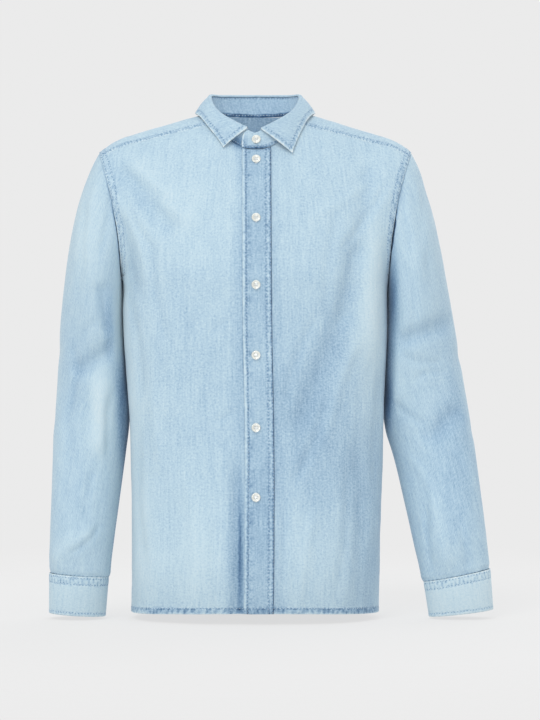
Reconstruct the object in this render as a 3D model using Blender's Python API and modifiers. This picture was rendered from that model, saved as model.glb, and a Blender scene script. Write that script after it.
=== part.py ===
"""A long-sleeved denim shirt, buttoned up and filled out as if worn, with nobody in it.

Run with: blender --background --python part.py
Metres, +Z up. The shirt faces -Y, and +X is the wearer's left. The origin is where the
wearer's neck and shoulders hold it: between the shoulders, at the base of the neck.

The body is one surface of torso sections and rounded shoulders. Each panel is a grid of
points between its seams on that surface, and a wall of cloth through those points.
"""

import math

import bpy
import numpy as np
from mathutils import Vector

MM = 0.001
CLOTH = 1.5 * MM  # one ply with its seam allowances
DOUBLE_CLOTH = 2.0 * MM  # collar and cuffs: two plies and interlining
GAP = 0.3 * MM  # between two pieces
LAP_GAP = 0.4 * MM  # under a piece that lies on another


def table(columns, *rows):
    """A table in millimetres as one array in metres for each named column."""
    return dict(zip(columns.split(), np.array(rows, float).T * MM))


# Torso sections, from the hem up. Above the armpit the width is the one inside the armholes.
ARMPIT_Z = -241 * MM
HEM_Z, HEM_SIDE_DROP = -723 * MM, 6 * MM
SECTION_POWER = 2.4  # 2 is an ellipse, more is squarer
TORSO = table(
    "z     half_width front back centre",
    (-760, 182.5,     121,  112, -0.5),
    (-640, 183.5,     122,  110, 1.5),
    (-540, 185,       122,  106, 2.5),
    (-430, 188.5,     123,  105, 2),
    (-340, 193.5,     124,  109, 0.5),
    (-290, 195.3,     124,  113, 0),
    (-241, 197,       124,  117, 0),
    (-196, 209,       124,  120, 0),
    (-150, 226,       124,  122, 0),
    (-105, 241,       124,  122, 0),
    (-60,  252,       124,  122, 0),
    (60,   262,       124,  122, 0),
)
FRONT_PROFILE, BACK_PROFILE = 1.25, 2.8  # how soon chest and back lean in towards the shoulder
RIDGE_ROUNDNESS = 0.55

# Shoulders, armholes and yoke
RIDGE_X, RIDGE_Z, SHOULDER_SLOPE = 92 * MM, 1.2 * MM, 0.305
RIDGE_CENTRE_ROUNDING = 30 * MM  # rounds the peak that the two slopes would make at x = 0
ROUNDED_FROM_X, ROUNDING = 190 * MM, 6.6
SHOULDER_X = 230 * MM
ARMHOLE_HALF_DEPTH, ARMHOLE_Y = 58.5 * MM, 1.5 * MM
ARMHOLE_SCOOP = 8.5 * MM
ARMHOLE_BLEND = 75 * MM  # how far inside the armhole a panel starts to turn towards it
FRONT_SEAM_ANGLE, BACK_SEAM_ANGLE = math.radians(27), math.radians(60)
BACK_YOKE_Z = -108 * MM

# Neck: angles are 0 at the front, 90 degrees at the +X side and 180 at the back
NECK_HALF_WIDTH = 66 * MM
NECK_FRONT_Z, NECK_BACK_Z = -50 * MM, 5 * MM
NECK_FRONT_ROUNDNESS, NECK_BACK_ROUNDNESS = 2.5, 4  # 2 is V-like in plan, more is rounder
FRONT_YOKE_NECK_ANGLE, BACK_NECK_ANGLE = math.radians(59), math.radians(112)

# Centre front: x at the neck of the lines that divide the strip under the placket
STRIP_LINES = np.array([-18.5, -7, 5, 17, 23.5]) * MM
UNDERLAP_LINE = 3  # the right front ends at this line, under the placket
PLACKET_DRIFT = 3.5 * MM  # how far the placket leans towards +X from neck to hem
PLACKET_TOP_CUT = 2.5 * MM

# Collar
COLLAR_FOLD_RADIUS = 3.2 * MM
STAND_TOP_Z = table("angle z", (0, -27), (50, 2), (90, 29), (135, 33.5), (180, 35))
STAND_CORNER, STAND_CORNER_DROP = 12 * MM, 0.75  # its rounded ends: length, share of height
STAND_LEAN_FRONT, STAND_LEAN_BACK = 0.91, 0.96
LEAF_START_X = {1: 8 * MM, -1: 10.5 * MM}
LEAF_TIP = {1: (53 * MM, -60 * MM), -1: (45 * MM, -52 * MM)}
LEAF_BACK_Z = 3 * MM
LEAF_CLEARANCE = 2.4 * MM
LEAF_BULGE = 1.5 * MM
LEAF_LOW_CENTRE_Z = -150 * MM  # the leaf's outer edge stands off away from this point
LEAF_EDGE = (
    # turn   x    height: 1 as high as the tip in front, or as low as the back's edge behind
    (0.12, 71,  0.58),
    (0.25, 87,  0),
    (0.37, 70,  -0.62),
)
FOLD_DEGREES = (180, 140, 95, 50, 15)  # where the points of the collar's fold stand round it
FRONT_LAP = math.radians(25)  # over this angle the +X ends of stand and leaf lift over the others

# Sleeve sections: x of the outer and inner line at height z, and the section's depth
SLEEVES = {
    1: table(
        "z     outer  inner  half_depth y",
        (-51,  230,   197,   58.5,      1.5),
        (-70,  240,   197,   58.5,      1.5),
        (-110, 253,   197,   58.5,      1.5),
        (-146, 264,   197,   58.5,      1.5),
        (-190, 274,   197,   64,        3),
        (-241, 284,   197,   69,        7),
        (-300, 295,   195.9, 69,        14),
        (-358, 305,   193.4, 62,        20),
        (-410, 313,   191.6, 54,        21),
        (-440, 318,   191.9, 50,        19),
        (-469, 323,   196,   48,        16),
        (-491, 326,   203,   47,        13),
        (-570, 336,   222,   46,        1),
        (-630, 343,   235,   43,        -8),
        (-690, 348,   248,   38,        -14),
    ),
    -1: table(
        "z     outer  inner  half_depth y",
        (-51,  230,   197,   58.5,      1.5),
        (-70,  240,   197,   58.5,      1.5),
        (-110, 256,   197,   58.5,      1.5),
        (-146, 266,   197,   58.5,      1.5),
        (-190, 275,   197,   64,        3),
        (-241, 282.5, 197,   70,        7),
        (-300, 289,   195.9, 70,        14),
        (-358, 292,   192.2, 64,        20),
        (-410, 295,   188,   59,        21),
        (-440, 297,   187.6, 54,        19),
        (-469, 299,   189.3, 53,        16),
        (-491, 299.5, 192,   52,        13),
        (-570, 301.5, 202,   49,        1),
        (-630, 303,   209.5, 45,        -8),
        (-690, 304,   215,   39,        -14),
    ),
}
SCOOP_FADE = 0.2  # share of the sleeve's length over which the armhole's scoop fades out

# Cuff edges: x and z of the outer and inner end, and the depth
CUFFS = {
    1: table(
        "outer outer_z inner inner_z half_depth y",
        (347,  -666,   248.5, -685,  29,        -15),
        (351,  -725,   256,   -736,  28,        -19),
    ),
    -1: table(
        "outer outer_z inner inner_z half_depth y",
        (303.5, -672,  215.5, -678,  35,        -15),
        (303.5, -730,  220,   -735,  34,        -19),
    ),
}
SLEEVE_FULLNESS = 1.06  # the sleeve's last section is this much wider than the cuff
GATHER_FROM = 0.88  # share of the sleeve's length where it starts to draw in to the cuff
SLEEVE_PLACKET_ROWS = 6
CUFF_END_ANGLE, CUFF_OVERLAP = math.radians(-75), math.radians(45)
CUFF_LAP_COLUMNS = 3  # over which the cuff's end lifts off its start

# Buttons
BUTTON_RADIUS, BUTTON_THICKNESS = 6.5 * MM, 2.2 * MM
BUTTON_LIFT = 0.5 * MM
BUTTON_X = 1.9 * MM
BUTTON_Z = np.array([-36, -65, -152, -250, -351, -455, -555]) * MM

# Large folds: each runs from one point to another, seen from the front (face -1) or back (1);
# a negative depth is a trough, and width is from its middle to where it is a third as deep
FOLD_END = 0.3  # share of a fold's length over which it fades at each end
SIDE_BLEND = 30 * MM  # depth over which a fold on one face fades at the side
SLEEVE_INSIDE = (0.95, 0.45)  # how squarely the sleeve faces the body: no fold, full fold
BODY_FOLDS = (
    # face x   z     to_x  to_z  width depth
    (-1, -203, -72,  -120, -172, 15,   -7),
    (-1, -186, -62,  -92,  -160, 15,   4),
    (-1, -198, -150, -176, -262, 12,   -5),
    (-1, 168,  -75,  152,  -205, 15,   -5),
    (-1, 153,  -195, 128,  -305, 17,   -8),
    (-1, 129,  -295, 62,   -455, 18,   -6),
    (-1, 174,  -185, 166,  -350, 16,   5),
    (-1, -27,  -520, -25,  -735, 10,   -6),
    (-1, 150,  -480, 158,  -735, 18,   -5),
    (-1, -120, -560, -128, -735, 22,   -4),
    (1,  -196, -150, -112, -235, 16,   -7),
    (1,  190,  -140, 96,   -262, 16,   -8),
    (1,  60,   -330, 44,   -640, 24,   -6),
    (1,  -72,  -420, -92,  -735, 24,   -7),
    (1,  -10,  -135, -4,   -330, 20,   5),
)
SLEEVE_FOLDS = {
    1: (
        # face x  z     to_x  to_z  width depth
        (-1, 206, -334, 292,  -300, 13,   -7),
        (-1, 196, -322, 206,  -420, 13,   6),
        (-1, 262, -560, 282,  -662, 13,   4),
        (-1, 300, -430, 254,  -476, 14,   -5),
        (1,  214, -380, 306,  -350, 14,   -8),
        (1,  236, -440, 322,  -470, 14,   -6),
        (1,  330, -560, 262,  -640, 13,   -5),
    ),
    -1: (
        (-1, -202, -338, -262, -376, 13,  -7),
        (-1, -224, -250, -212, -318, 13,  -5),
        (-1, -224, -388, -228, -492, 13,  5),
        (-1, -238, -606, -298, -652, 13,  4),
        (1,  -206, -366, -288, -342, 14,  -8),
        (1,  -214, -430, -292, -452, 14,  -6),
        (1,  -226, -560, -296, -630, 13,  -5),
    ),
}

SLEEVE_SIDES = {"sleeve_left": 1, "sleeve_right": -1}
GENTLE_TURN = 0.7  # cosine: two walls that meet at less than this angle share a mitre

# How many faces each panel is divided into
LOWER_ROWS, UPPER_ROWS = 15, 8
FRONT_NECK_COLUMNS, FRONT_YOKE_COLUMNS = 3, 7
BACK_COLUMNS = 20
YOKE_ARM_COLUMNS = 8
SLEEVE_ROWS = 20
# Rows of each sleeve's three solids, which meet below the sleeve head and at the elbow
SLEEVE_STRETCHES = {"head": (0, 4), "upper": (4, 10), "lower": (10, SLEEVE_ROWS)}
LEAF_COLUMNS, LEAF_ROWS = 40, 4
BAND_ROWS = 3  # stand and cuffs
CUFF_FACES = 28  # once round


# ---------------------------------------------------------------- general shapes


def spline(xs, ys, at):
    """A smooth curve through the points (xs, ys), read at the values in at."""
    slopes = np.gradient(ys, xs)
    at = np.clip(np.asarray(at, float), xs[0], xs[-1])
    i = np.clip(np.searchsorted(xs, at, side="right") - 1, 0, len(xs) - 2)
    step = xs[i + 1] - xs[i]
    t = (at - xs[i]) / step
    return (
        (1 + 2 * t) * (1 - t) ** 2 * ys[i]
        + t * (1 - t) ** 2 * step * slopes[i]
        + t**2 * (3 - 2 * t) * ys[i + 1]
        + t**2 * (t - 1) * step * slopes[i + 1]
    )


def smooth(t):
    t = np.clip(t, 0, 1)
    return t * t * (3 - 2 * t)


def unit(vectors):
    return vectors / np.maximum(np.linalg.norm(vectors, axis=-1, keepdims=True), 1e-12)


def pairs(a, b):
    return np.stack(np.broadcast_arrays(a, b), axis=-1)


def coons(bottom, top, left, right):
    """A grid of points between four edges: bottom and top run along u, left and right along v."""
    u = np.linspace(0, 1, len(bottom))[None, :, None]
    v = np.linspace(0, 1, len(left))[:, None, None]
    bottom, top = bottom[None], top[None]
    left, right = left[:, None], right[:, None]
    low_corners = (1 - u) * bottom[:, :1] + u * bottom[:, -1:]
    high_corners = (1 - u) * top[:, :1] + u * top[:, -1:]
    corners = (1 - v) * low_corners + v * high_corners
    return (1 - v) * bottom + v * top + (1 - u) * left + u * right - corners


def mirrored(grid):
    """The same grid on the other side, with its columns turned so that it still faces out."""
    return (grid * np.array([-1, 1, 1]))[:, ::-1]


# ---------------------------------------------------------------- the body's surface


def torso(column, z):
    return spline(TORSO["z"], TORSO[column], z)


def ridge(x):
    """Height of the top of the shoulder."""
    out = np.hypot(x, RIDGE_CENTRE_ROUNDING) - math.hypot(RIDGE_X, RIDGE_CENTRE_ROUNDING)
    rounded = np.clip(np.abs(x) - ROUNDED_FROM_X, 0, None)
    return RIDGE_Z - SHOULDER_SLOPE * out - ROUNDING * rounded**2


def body(x, z, face):
    """The point of the body's surface at x and z, in front (face -1) or behind (face 1)."""
    share = np.clip(np.abs(x) / torso("half_width", z), 0, 1)
    across = (1 - share**SECTION_POWER) ** (1 / SECTION_POWER)
    up = np.clip((z - ARMPIT_Z) / (ridge(x) - ARMPIT_Z), 0, 1)
    front = -torso("front", z) * (1 - up**FRONT_PROFILE) ** RIDGE_ROUNDNESS
    behind = torso("back", z) * (1 - up**BACK_PROFILE) ** RIDGE_ROUNDNESS
    y = across * np.where(np.asarray(face) < 0, front, behind)
    return np.stack(np.broadcast_arrays(x, y, z), axis=-1)


def x_to_angle(x, z):
    """The angle round the torso, 0 at the centre and 90 degrees at the side, of x at height z."""
    share = np.clip(np.abs(x) / torso("half_width", z), 0, 1)
    return np.sign(x) * np.arcsin(share ** (SECTION_POWER / 2))


def angle_to_x(angle, z):
    return np.sign(angle) * torso("half_width", z) * np.abs(np.sin(angle)) ** (2 / SECTION_POWER)


def z_to_tilt(x, z, face):
    """0 on the ridge of the shoulder, -1 or 1 at armpit height in front or behind."""
    up = (z - ARMPIT_Z) / (ridge(x) - ARMPIT_Z)
    return face * np.sqrt(np.clip(1 - up, 0, None))


def from_tilt(x, tilt):
    z = ARMPIT_Z + (1 - tilt**2) * (ridge(x) - ARMPIT_Z)
    return body(x, z, np.where(tilt < 0, -1, 1))


# ---------------------------------------------------------------- seams


def armhole(angle):
    """The armhole seam on the +X side: 0 on the shoulder, 180 degrees at the armpit, + in front."""
    top = np.array([SHOULDER_X, ridge(SHOULDER_X)])
    foot = np.array([torso("half_width", ARMPIT_Z), ARMPIT_Z])
    middle, half = (top + foot) / 2, (top - foot) / 2
    x = middle[0] + half[0] * np.cos(angle) - ARMHOLE_SCOOP * np.sin(angle) ** 2
    y = ARMHOLE_Y - ARMHOLE_HALF_DEPTH * np.sin(angle)
    return np.stack([x, y, middle[1] + half[1] * np.cos(angle)], axis=-1)


def neck(angle):
    """The x and z of the neck seam."""
    front = np.cos(angle) > 0
    side_z = ridge(NECK_HALF_WIDTH)
    end_z = np.where(front, NECK_FRONT_Z, NECK_BACK_Z)
    roundness = np.where(front, NECK_FRONT_ROUNDNESS, NECK_BACK_ROUNDNESS)
    rise = np.abs(np.sin(angle)) ** roundness
    return NECK_HALF_WIDTH * np.sin(angle), end_z + (side_z - end_z) * rise


def neck_point(angle):
    x, z = neck(angle)
    return body(x, z, np.where(np.cos(angle) > 0, -1, 1))


def front_seam_z(x):
    """The seam between yoke and front: a drop below the ridge that changes from neck to armhole."""
    neck_x, neck_z = neck(FRONT_YOKE_NECK_ANGLE)
    arm_x, _, arm_z = armhole(FRONT_SEAM_ANGLE)
    share = (np.abs(x) - neck_x) / (arm_x - neck_x)
    return ridge(x) - (1 - share) * (ridge(neck_x) - neck_z) - share * (ridge(arm_x) - arm_z)


def back_seam_z(x):
    arm = armhole(-BACK_SEAM_ANGLE)
    share = (x / arm[0]) ** 2
    return (1 - share) * BACK_YOKE_Z + share * arm[2]


def hem_z(angle):
    return HEM_Z - HEM_SIDE_DROP * np.sin(angle) ** 2


def side_edge(seam_angle, face):
    """The side seam with the armhole above it, as (angle, z), and the armhole angle of each row."""
    low_z = np.linspace(hem_z(math.pi / 2), ARMPIT_Z, LOWER_ROWS + 1)[:-1]
    arm_angles = -face * np.linspace(math.pi, seam_angle, UPPER_ROWS + 1)
    hole = armhole(arm_angles)
    z = np.concatenate([low_z, hole[:, 2]])
    x = np.concatenate([torso("half_width", low_z), hole[:, 0]])
    return pairs(x_to_angle(x, z), z), np.concatenate([np.full(LOWER_ROWS, math.pi), arm_angles])


def turn_to_armhole(points, arm_angles):
    """Moves the points near the +X armhole so that the last column lies on its seam."""
    wanted = armhole(arm_angles)
    below = wanted[:, 2] > points[:, -1, 2] + GAP
    miss = np.where(below[:, None], 0, wanted - points[:, -1])
    away = points[:, -1:, 0] - points[:, :, 0]
    return points + miss[:, None] * smooth(1 - away / ARMHOLE_BLEND)[..., None]


# ---------------------------------------------------------------- panels as grids of points


def strip_grid():
    """The strip of the body's surface under the placket."""
    columns = []
    for line in STRIP_LINES:
        top = neck(np.arcsin(line / NECK_HALF_WIDTH))[1]
        low = np.linspace(HEM_Z, ARMPIT_Z, LOWER_ROWS + 1)[:-1]
        z = np.concatenate([low, np.linspace(ARMPIT_Z, top, UPPER_ROWS + 1)])
        drift = PLACKET_DRIFT * (NECK_FRONT_Z - z) / (NECK_FRONT_Z - HEM_Z)
        columns.append(body(line + drift, z, -1))
    return np.stack(columns, axis=1)


def front_grid(strip_edge):
    """The +X front, from the strip's last column to the side seam and armhole."""
    edge_z = strip_edge[:, 2]
    left = pairs(x_to_angle(strip_edge[:, 0], edge_z), edge_z)
    right, arm_angles = side_edge(FRONT_SEAM_ANGLE, -1)
    bottom_angle = np.linspace(left[0, 0], math.pi / 2, FRONT_NECK_COLUMNS + FRONT_YOKE_COLUMNS + 1)
    bottom = pairs(bottom_angle, hem_z(bottom_angle))
    start = math.asin(strip_edge[-1, 0] / NECK_HALF_WIDTH)
    neck_x, neck_z = neck(np.linspace(start, FRONT_YOKE_NECK_ANGLE, FRONT_NECK_COLUMNS + 1))
    arm_x = armhole(FRONT_SEAM_ANGLE)[0]
    seam_x = np.linspace(neck_x[-1], arm_x, FRONT_YOKE_COLUMNS + 1)[1:]
    top_x = np.concatenate([neck_x, seam_x])
    top_z = np.concatenate([neck_z, front_seam_z(seam_x)])
    grid = coons(bottom, pairs(x_to_angle(top_x, top_z), top_z), left, right)
    points = body(angle_to_x(grid[..., 0], grid[..., 1]), grid[..., 1], -1)
    return turn_to_armhole(points, arm_angles)


def back_grid():
    right, arm_angles = side_edge(BACK_SEAM_ANGLE, 1)
    bottom_angle = np.linspace(-math.pi / 2, math.pi / 2, BACK_COLUMNS + 1)
    arm_x = armhole(BACK_SEAM_ANGLE)[0]
    top_x = np.linspace(-arm_x, arm_x, BACK_COLUMNS + 1)
    top_z = back_seam_z(top_x)
    top = pairs(x_to_angle(top_x, top_z), top_z)
    grid = coons(pairs(bottom_angle, hem_z(bottom_angle)), top, right * [-1, 1], right)
    points = body(angle_to_x(grid[..., 0], grid[..., 1]), grid[..., 1], 1)
    for _ in range(2):
        points = mirrored(turn_to_armhole(points, arm_angles))
    return points[:, ::-1]


def yoke_grid():
    """The yoke, round the neck from its -X front seam to its +X one: neck first, outer edge last."""
    arm_angles = np.linspace(FRONT_SEAM_ANGLE, -BACK_SEAM_ANGLE, YOKE_ARM_COLUMNS + 1)
    hole = armhole(arm_angles)
    arm = pairs(hole[:, 0], z_to_tilt(hole[:, 0], hole[:, 2], np.where(arm_angles > 0, -1, 1)))
    back_x = np.linspace(hole[-1, 0], -hole[-1, 0], BACK_COLUMNS + 1)[1:-1]
    back = pairs(back_x, z_to_tilt(back_x, back_seam_z(back_x), 1))
    outer = np.concatenate([arm, back, arm[::-1] * [-1, 1]])
    side = np.linspace(FRONT_YOKE_NECK_ANGLE, BACK_NECK_ANGLE, YOKE_ARM_COLUMNS + 1)
    behind = np.linspace(BACK_NECK_ANGLE, 2 * math.pi - BACK_NECK_ANGLE, BACK_COLUMNS + 1)[1:-1]
    angles = np.concatenate([side, behind, (2 * math.pi - side)[::-1]])
    neck_x, neck_z = neck(angles)
    inner = pairs(neck_x, z_to_tilt(neck_x, neck_z, np.where(np.cos(angles) > 0, -1, 1)))
    seam_x = np.linspace(inner[0, 0], outer[0, 0], FRONT_YOKE_COLUMNS + 1)
    end = pairs(seam_x, z_to_tilt(seam_x, front_seam_z(seam_x), -1))
    grid = coons(inner, outer, end, end * [-1, 1])
    points = from_tilt(grid[..., 0], grid[..., 1])
    half = YOKE_ARM_COLUMNS + BACK_COLUMNS // 2
    first = yoke_to_armhole(points[:, : half + 1], hole)
    return np.concatenate([first, mirrored(first)[:, 1:]], axis=1)


def yoke_to_armhole(points, hole):
    """Moves the outer points of half the yoke onto the armhole, less and less beyond its corner."""
    miss = np.zeros_like(points[-1])
    miss[: len(hole)] = hole - points[-1, : len(hole)]
    away = np.linalg.norm(points[-1:] - points, axis=-1)
    return points + miss[None] * smooth(1 - away / ARMHOLE_BLEND)[..., None]


def placket_grid(panels, normals):
    """The placket lies on both fronts, its underside clear of them, and stops below the stand."""
    right, left = slice(-UNDERLAP_LINE - 1, None), slice(1, 2)
    points, out = (
        np.concatenate([grids["front_right"][:, right], grids["front_left"][:, left]], axis=1)
        for grids in (panels, normals)
    )
    points = points + out * (CLOTH + LAP_GAP)
    points[-1] += unit(points[-2] - points[-1]) * PLACKET_TOP_CUT
    return points, out


def sleeve_grid(side):
    """The +X form of a sleeve: rings from the armhole down to the cuff, the first on the armhole."""
    size, cuff = SLEEVES[side], CUFFS[side]
    angles = armhole_angles()
    share = np.linspace(0, 1, SLEEVE_ROWS + 1)
    outer_z = ridge(SHOULDER_X) + share * (cuff["outer_z"][0] + 2 * GAP - ridge(SHOULDER_X))
    inner_z = ARMPIT_Z + share * (cuff["inner_z"][0] + 2 * GAP - ARMPIT_Z)
    outer = -spline(-size["z"], -size["outer"], -outer_z)
    inner = -spline(-size["z"], -size["inner"], -inner_z)
    middle_z = (outer_z + inner_z) / 2
    half_depth = spline(-size["z"], size["half_depth"], -middle_z)
    y = spline(-size["z"], size["y"], -middle_z)
    gather = smooth((share - GATHER_FROM) / (1 - GATHER_FROM))
    half_width = (outer - inner) / 2
    half_width += gather * (SLEEVE_FULLNESS * (cuff["outer"] - cuff["inner"])[0] / 2 - half_width)
    half_depth += gather * (SLEEVE_FULLNESS * cuff["half_depth"][0] - half_depth)
    y += gather * (cuff["y"][0] - y)
    scoop = ARMHOLE_SCOOP * (1 - smooth(share / SCOOP_FADE))
    rings = [armhole(angles)]
    for k in range(1, SLEEVE_ROWS + 1):
        rings.append(np.stack([
            (outer[k] + inner[k]) / 2
            + half_width[k] * np.cos(angles)
            - scoop[k] * np.sin(angles) ** 2,
            y[k] - half_depth[k] * np.sin(angles),
            middle_z[k] + (outer_z[k] - inner_z[k]) / 2 * np.cos(angles),
        ], axis=-1))
    return np.stack(rings)


def armhole_angles():
    """The armhole angles of the points that the panels have on the seam, once round and closed."""
    yoke = np.linspace(-BACK_SEAM_ANGLE, FRONT_SEAM_ANGLE, YOKE_ARM_COLUMNS + 1)
    front = np.linspace(FRONT_SEAM_ANGLE, math.pi, UPPER_ROWS + 1)
    back = np.linspace(-math.pi, -BACK_SEAM_ANGLE, UPPER_ROWS + 1)
    return np.concatenate([yoke, front[1:], back[1:]])


def cuff_grid(side):
    """The +X form of a cuff: a band whose end laps over its start, at the back of the wrist."""
    size = CUFFS[side]
    step = 2 * math.pi / CUFF_FACES
    turns = np.arange(0, 2 * math.pi + CUFF_OVERLAP + step / 2, step)
    angles = CUFF_END_ANGLE - CUFF_OVERLAP + turns
    lap = CUFF_LAP_COLUMNS * step
    lift = (DOUBLE_CLOTH + GAP) * smooth((turns - 2 * math.pi + lap) / lap)
    rows = []
    for v in np.linspace(0, 1, BAND_ROWS + 1):
        now = {name: (1 - v) * column[0] + v * column[1] for name, column in size.items()}
        half_width = (now["outer"] - now["inner"]) / 2
        half_z = (now["outer_z"] - now["inner_z"]) / 2
        rows.append(np.stack([
            now["inner"] + half_width + (half_width + lift) * np.cos(angles),
            now["y"] - (now["half_depth"] + lift) * np.sin(angles),
            now["outer_z"] - half_z + half_z * np.cos(angles),
        ], axis=-1))
    return np.stack(rows)


def sleeve_placket_grid(sleeve, normals, side):
    """The strip along the wrist opening, on the back of the sleeve above the cuff's lap."""
    place = np.s_[-SLEEVE_PLACKET_ROWS:, -3:-1] if side > 0 else np.s_[-SLEEVE_PLACKET_ROWS:, 1:3]
    return sleeve[place] + normals[place] * (CLOTH + LAP_GAP), normals[place]


# ---------------------------------------------------------------- collar


def stand_angles():
    """Once round the neck and on under the first end, through the panels' own points."""
    lines = np.arcsin(STRIP_LINES / NECK_HALF_WIDTH)
    left = np.linspace(lines[-1], FRONT_YOKE_NECK_ANGLE, FRONT_NECK_COLUMNS + 1)
    shoulder = np.linspace(FRONT_YOKE_NECK_ANGLE, BACK_NECK_ANGLE, YOKE_ARM_COLUMNS + 1)[1:]
    back = np.linspace(BACK_NECK_ANGLE, 2 * math.pi - BACK_NECK_ANGLE, BACK_COLUMNS + 1)[1:-1]
    right = np.linspace(-lines[0], FRONT_YOKE_NECK_ANGLE, FRONT_NECK_COLUMNS + 1)[:-1]
    far_side = 2 * math.pi - np.concatenate([right, [FRONT_YOKE_NECK_ANGLE], shoulder])[::-1]
    under_end = 2 * math.pi + lines[1:UNDERLAP_LINE + 1]
    return np.concatenate([lines[:-1], left, shoulder, back, far_side, under_end])


def stand_top(angle):
    """The upper edge of the stand: the neck seam drawn in a little, at its own height."""
    base = neck_point(angle)
    lean = np.where(np.cos(angle) > 0, STAND_LEAN_FRONT, STAND_LEAN_BACK)
    degrees = np.degrees(np.arccos(np.cos(angle))) * MM
    z = spline(STAND_TOP_Z["angle"], STAND_TOP_Z["z"], degrees)
    return np.stack([base[..., 0], base[..., 1] * lean, z], axis=-1)


def stand_grid():
    """The collar stand: a band round the neck whose +X end laps over the other one."""
    angles = stand_angles()
    base, top = neck_point(angles), stand_top(angles)
    base[:, 2] += GAP
    out = unit(np.stack([np.sin(angles), -np.cos(angles), 0 * angles], axis=-1))
    lap_end = math.asin(STRIP_LINES[-1] / NECK_HALF_WIDTH)
    lift = (DOUBLE_CLOTH + GAP) * (1 - smooth((angles - lap_end) / FRONT_LAP))
    from_end = NECK_HALF_WIDTH * np.minimum(angles - angles[0], angles[-1] - angles)
    corner = 1 - np.clip(from_end / STAND_CORNER, 0, 1)
    height = 1 - STAND_CORNER_DROP * (1 - np.sqrt(1 - corner**2))
    top = base + (top - base) * height[:, None]
    shares = np.linspace(0, 1, BAND_ROWS + 1)
    return np.stack([base + v * (top - base) + out * lift[:, None] for v in shares])


def leaf_low_edge(turn):
    """The collar's outer edge, from the +X tip (0) over the shoulders to the -X tip (1)."""
    back_tilt = z_to_tilt(0, LEAF_BACK_Z, 1)
    rows = [(0.5, 0, back_tilt)]
    for side, far in ((1, 0), (-1, 1)):
        tip_x, tip_z = LEAF_TIP[side]
        tip_tilt = z_to_tilt(tip_x, tip_z, -1)
        rows.append((far, side * tip_x, tip_tilt))
        for turned, x, height in LEAF_EDGE:
            tilt = height * (tip_tilt if height > 0 else -back_tilt)
            rows.append((abs(far - turned), side * x * MM, tilt))
    turns, x, tilt = np.array(sorted(rows)).T
    points = from_tilt(spline(turns, x, turn), spline(turns, tilt, turn))
    out = unit(points - np.array([0, 0, LEAF_LOW_CENTRE_Z]))
    return points + out * (LEAF_CLEARANCE + DOUBLE_CLOTH)


def leaf_grid():
    """The collar itself: it rises from the stand, folds over and falls to its outer edge."""
    turns = np.linspace(0, 1, LEAF_COLUMNS + 1)
    start = math.asin(LEAF_START_X[1] / NECK_HALF_WIDTH)
    end = 2 * math.pi - math.asin(LEAF_START_X[-1] / NECK_HALF_WIDTH)
    angles = start + turns * (end - start)
    stand, low = stand_top(angles), leaf_low_edge(turns)
    out = unit(np.stack([np.sin(angles), -np.cos(angles), 0 * angles], axis=-1))
    up = np.array([0, 0, 1.0])
    layers = (DOUBLE_CLOTH + GAP) * (1 - smooth((angles - start) / FRONT_LAP))
    centre = stand + out * (COLLAR_FOLD_RADIUS - DOUBLE_CLOTH + layers)[:, None] + GAP * up
    rows = []
    for degrees in FOLD_DEGREES:
        across, rise = math.cos(math.radians(degrees)), math.sin(math.radians(degrees))
        rows.append(centre + COLLAR_FOLD_RADIUS * (across * out + rise * up))
    bend = rows[-1]
    for v in np.linspace(0, 1, LEAF_ROWS + 1)[1:]:
        bulge = LEAF_BULGE * 4 * v * (1 - v)
        rows.append(bend + v * (low - bend) + bulge * (out + up / 2))
    return np.stack(rows)


# ---------------------------------------------------------------- folds


def fold_depth(points, folds):
    """How far the folds move each point outwards."""
    depth = np.zeros(points.shape[:-1])
    for face, *sizes in folds:
        x, z, to_x, to_z, width, height = np.array(sizes) * MM
        start, along = np.array([x, z]), np.array([to_x - x, to_z - z])
        offset = points[..., [0, 2]] - start
        share = offset @ along / (along @ along)
        across = (offset[..., 0] * along[1] - offset[..., 1] * along[0]) / np.hypot(*along)
        taper = smooth(share / FOLD_END + 0.5) * smooth((1 - share) / FOLD_END + 0.5)
        faces_it = smooth(0.5 + face * points[..., 1] / SIDE_BLEND)
        depth += height * np.exp(-((across / width) ** 2)) * taper * faces_it
    return depth


def folded(grids, folds):
    """The grids with their folds. A sleeve has none where it hangs against the body."""
    normals, moves = normals_of(grids), {}
    for name, grid in grids.items():
        depth = fold_depth(grid, folds[name])
        if name in SLEEVE_SIDES:
            inwards = -SLEEVE_SIDES[name] * normals[name][..., 0]
            none, full = SLEEVE_INSIDE
            depth *= smooth((none - inwards) / (none - full))
        moves[name] = normals[name] * depth[..., None]
    shared, counts = summed_where_they_meet(grids, moves)
    return {name: grid + shared[name] / counts[name] for name, grid in grids.items()}


# ---------------------------------------------------------------- walls of cloth


def summed_where_they_meet(grids, fields):
    """For each grid its field summed over all the points in the same place, and how many they are."""
    points = np.concatenate([grid.reshape(-1, 3) for grid in grids.values()])
    values = np.concatenate([fields[name].reshape(-1, 3) for name in grids])
    places = np.round(points / (0.01 * MM)).astype(int)
    _, place = np.unique(places, axis=0, return_inverse=True)
    place = place.reshape(-1)
    sums, counts = np.zeros((place.max() + 1, 3)), np.bincount(place)
    np.add.at(sums, place, values)
    ends = np.cumsum([grid[..., 0].size for grid in grids.values()])[:-1]
    split = [np.split(flat[place], ends) for flat in (sums, counts[:, None])]
    return [
        {name: part.reshape(*grid.shape[:2], -1) for (name, grid), part in zip(grids.items(), parts)}
        for parts in split
    ]


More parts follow.
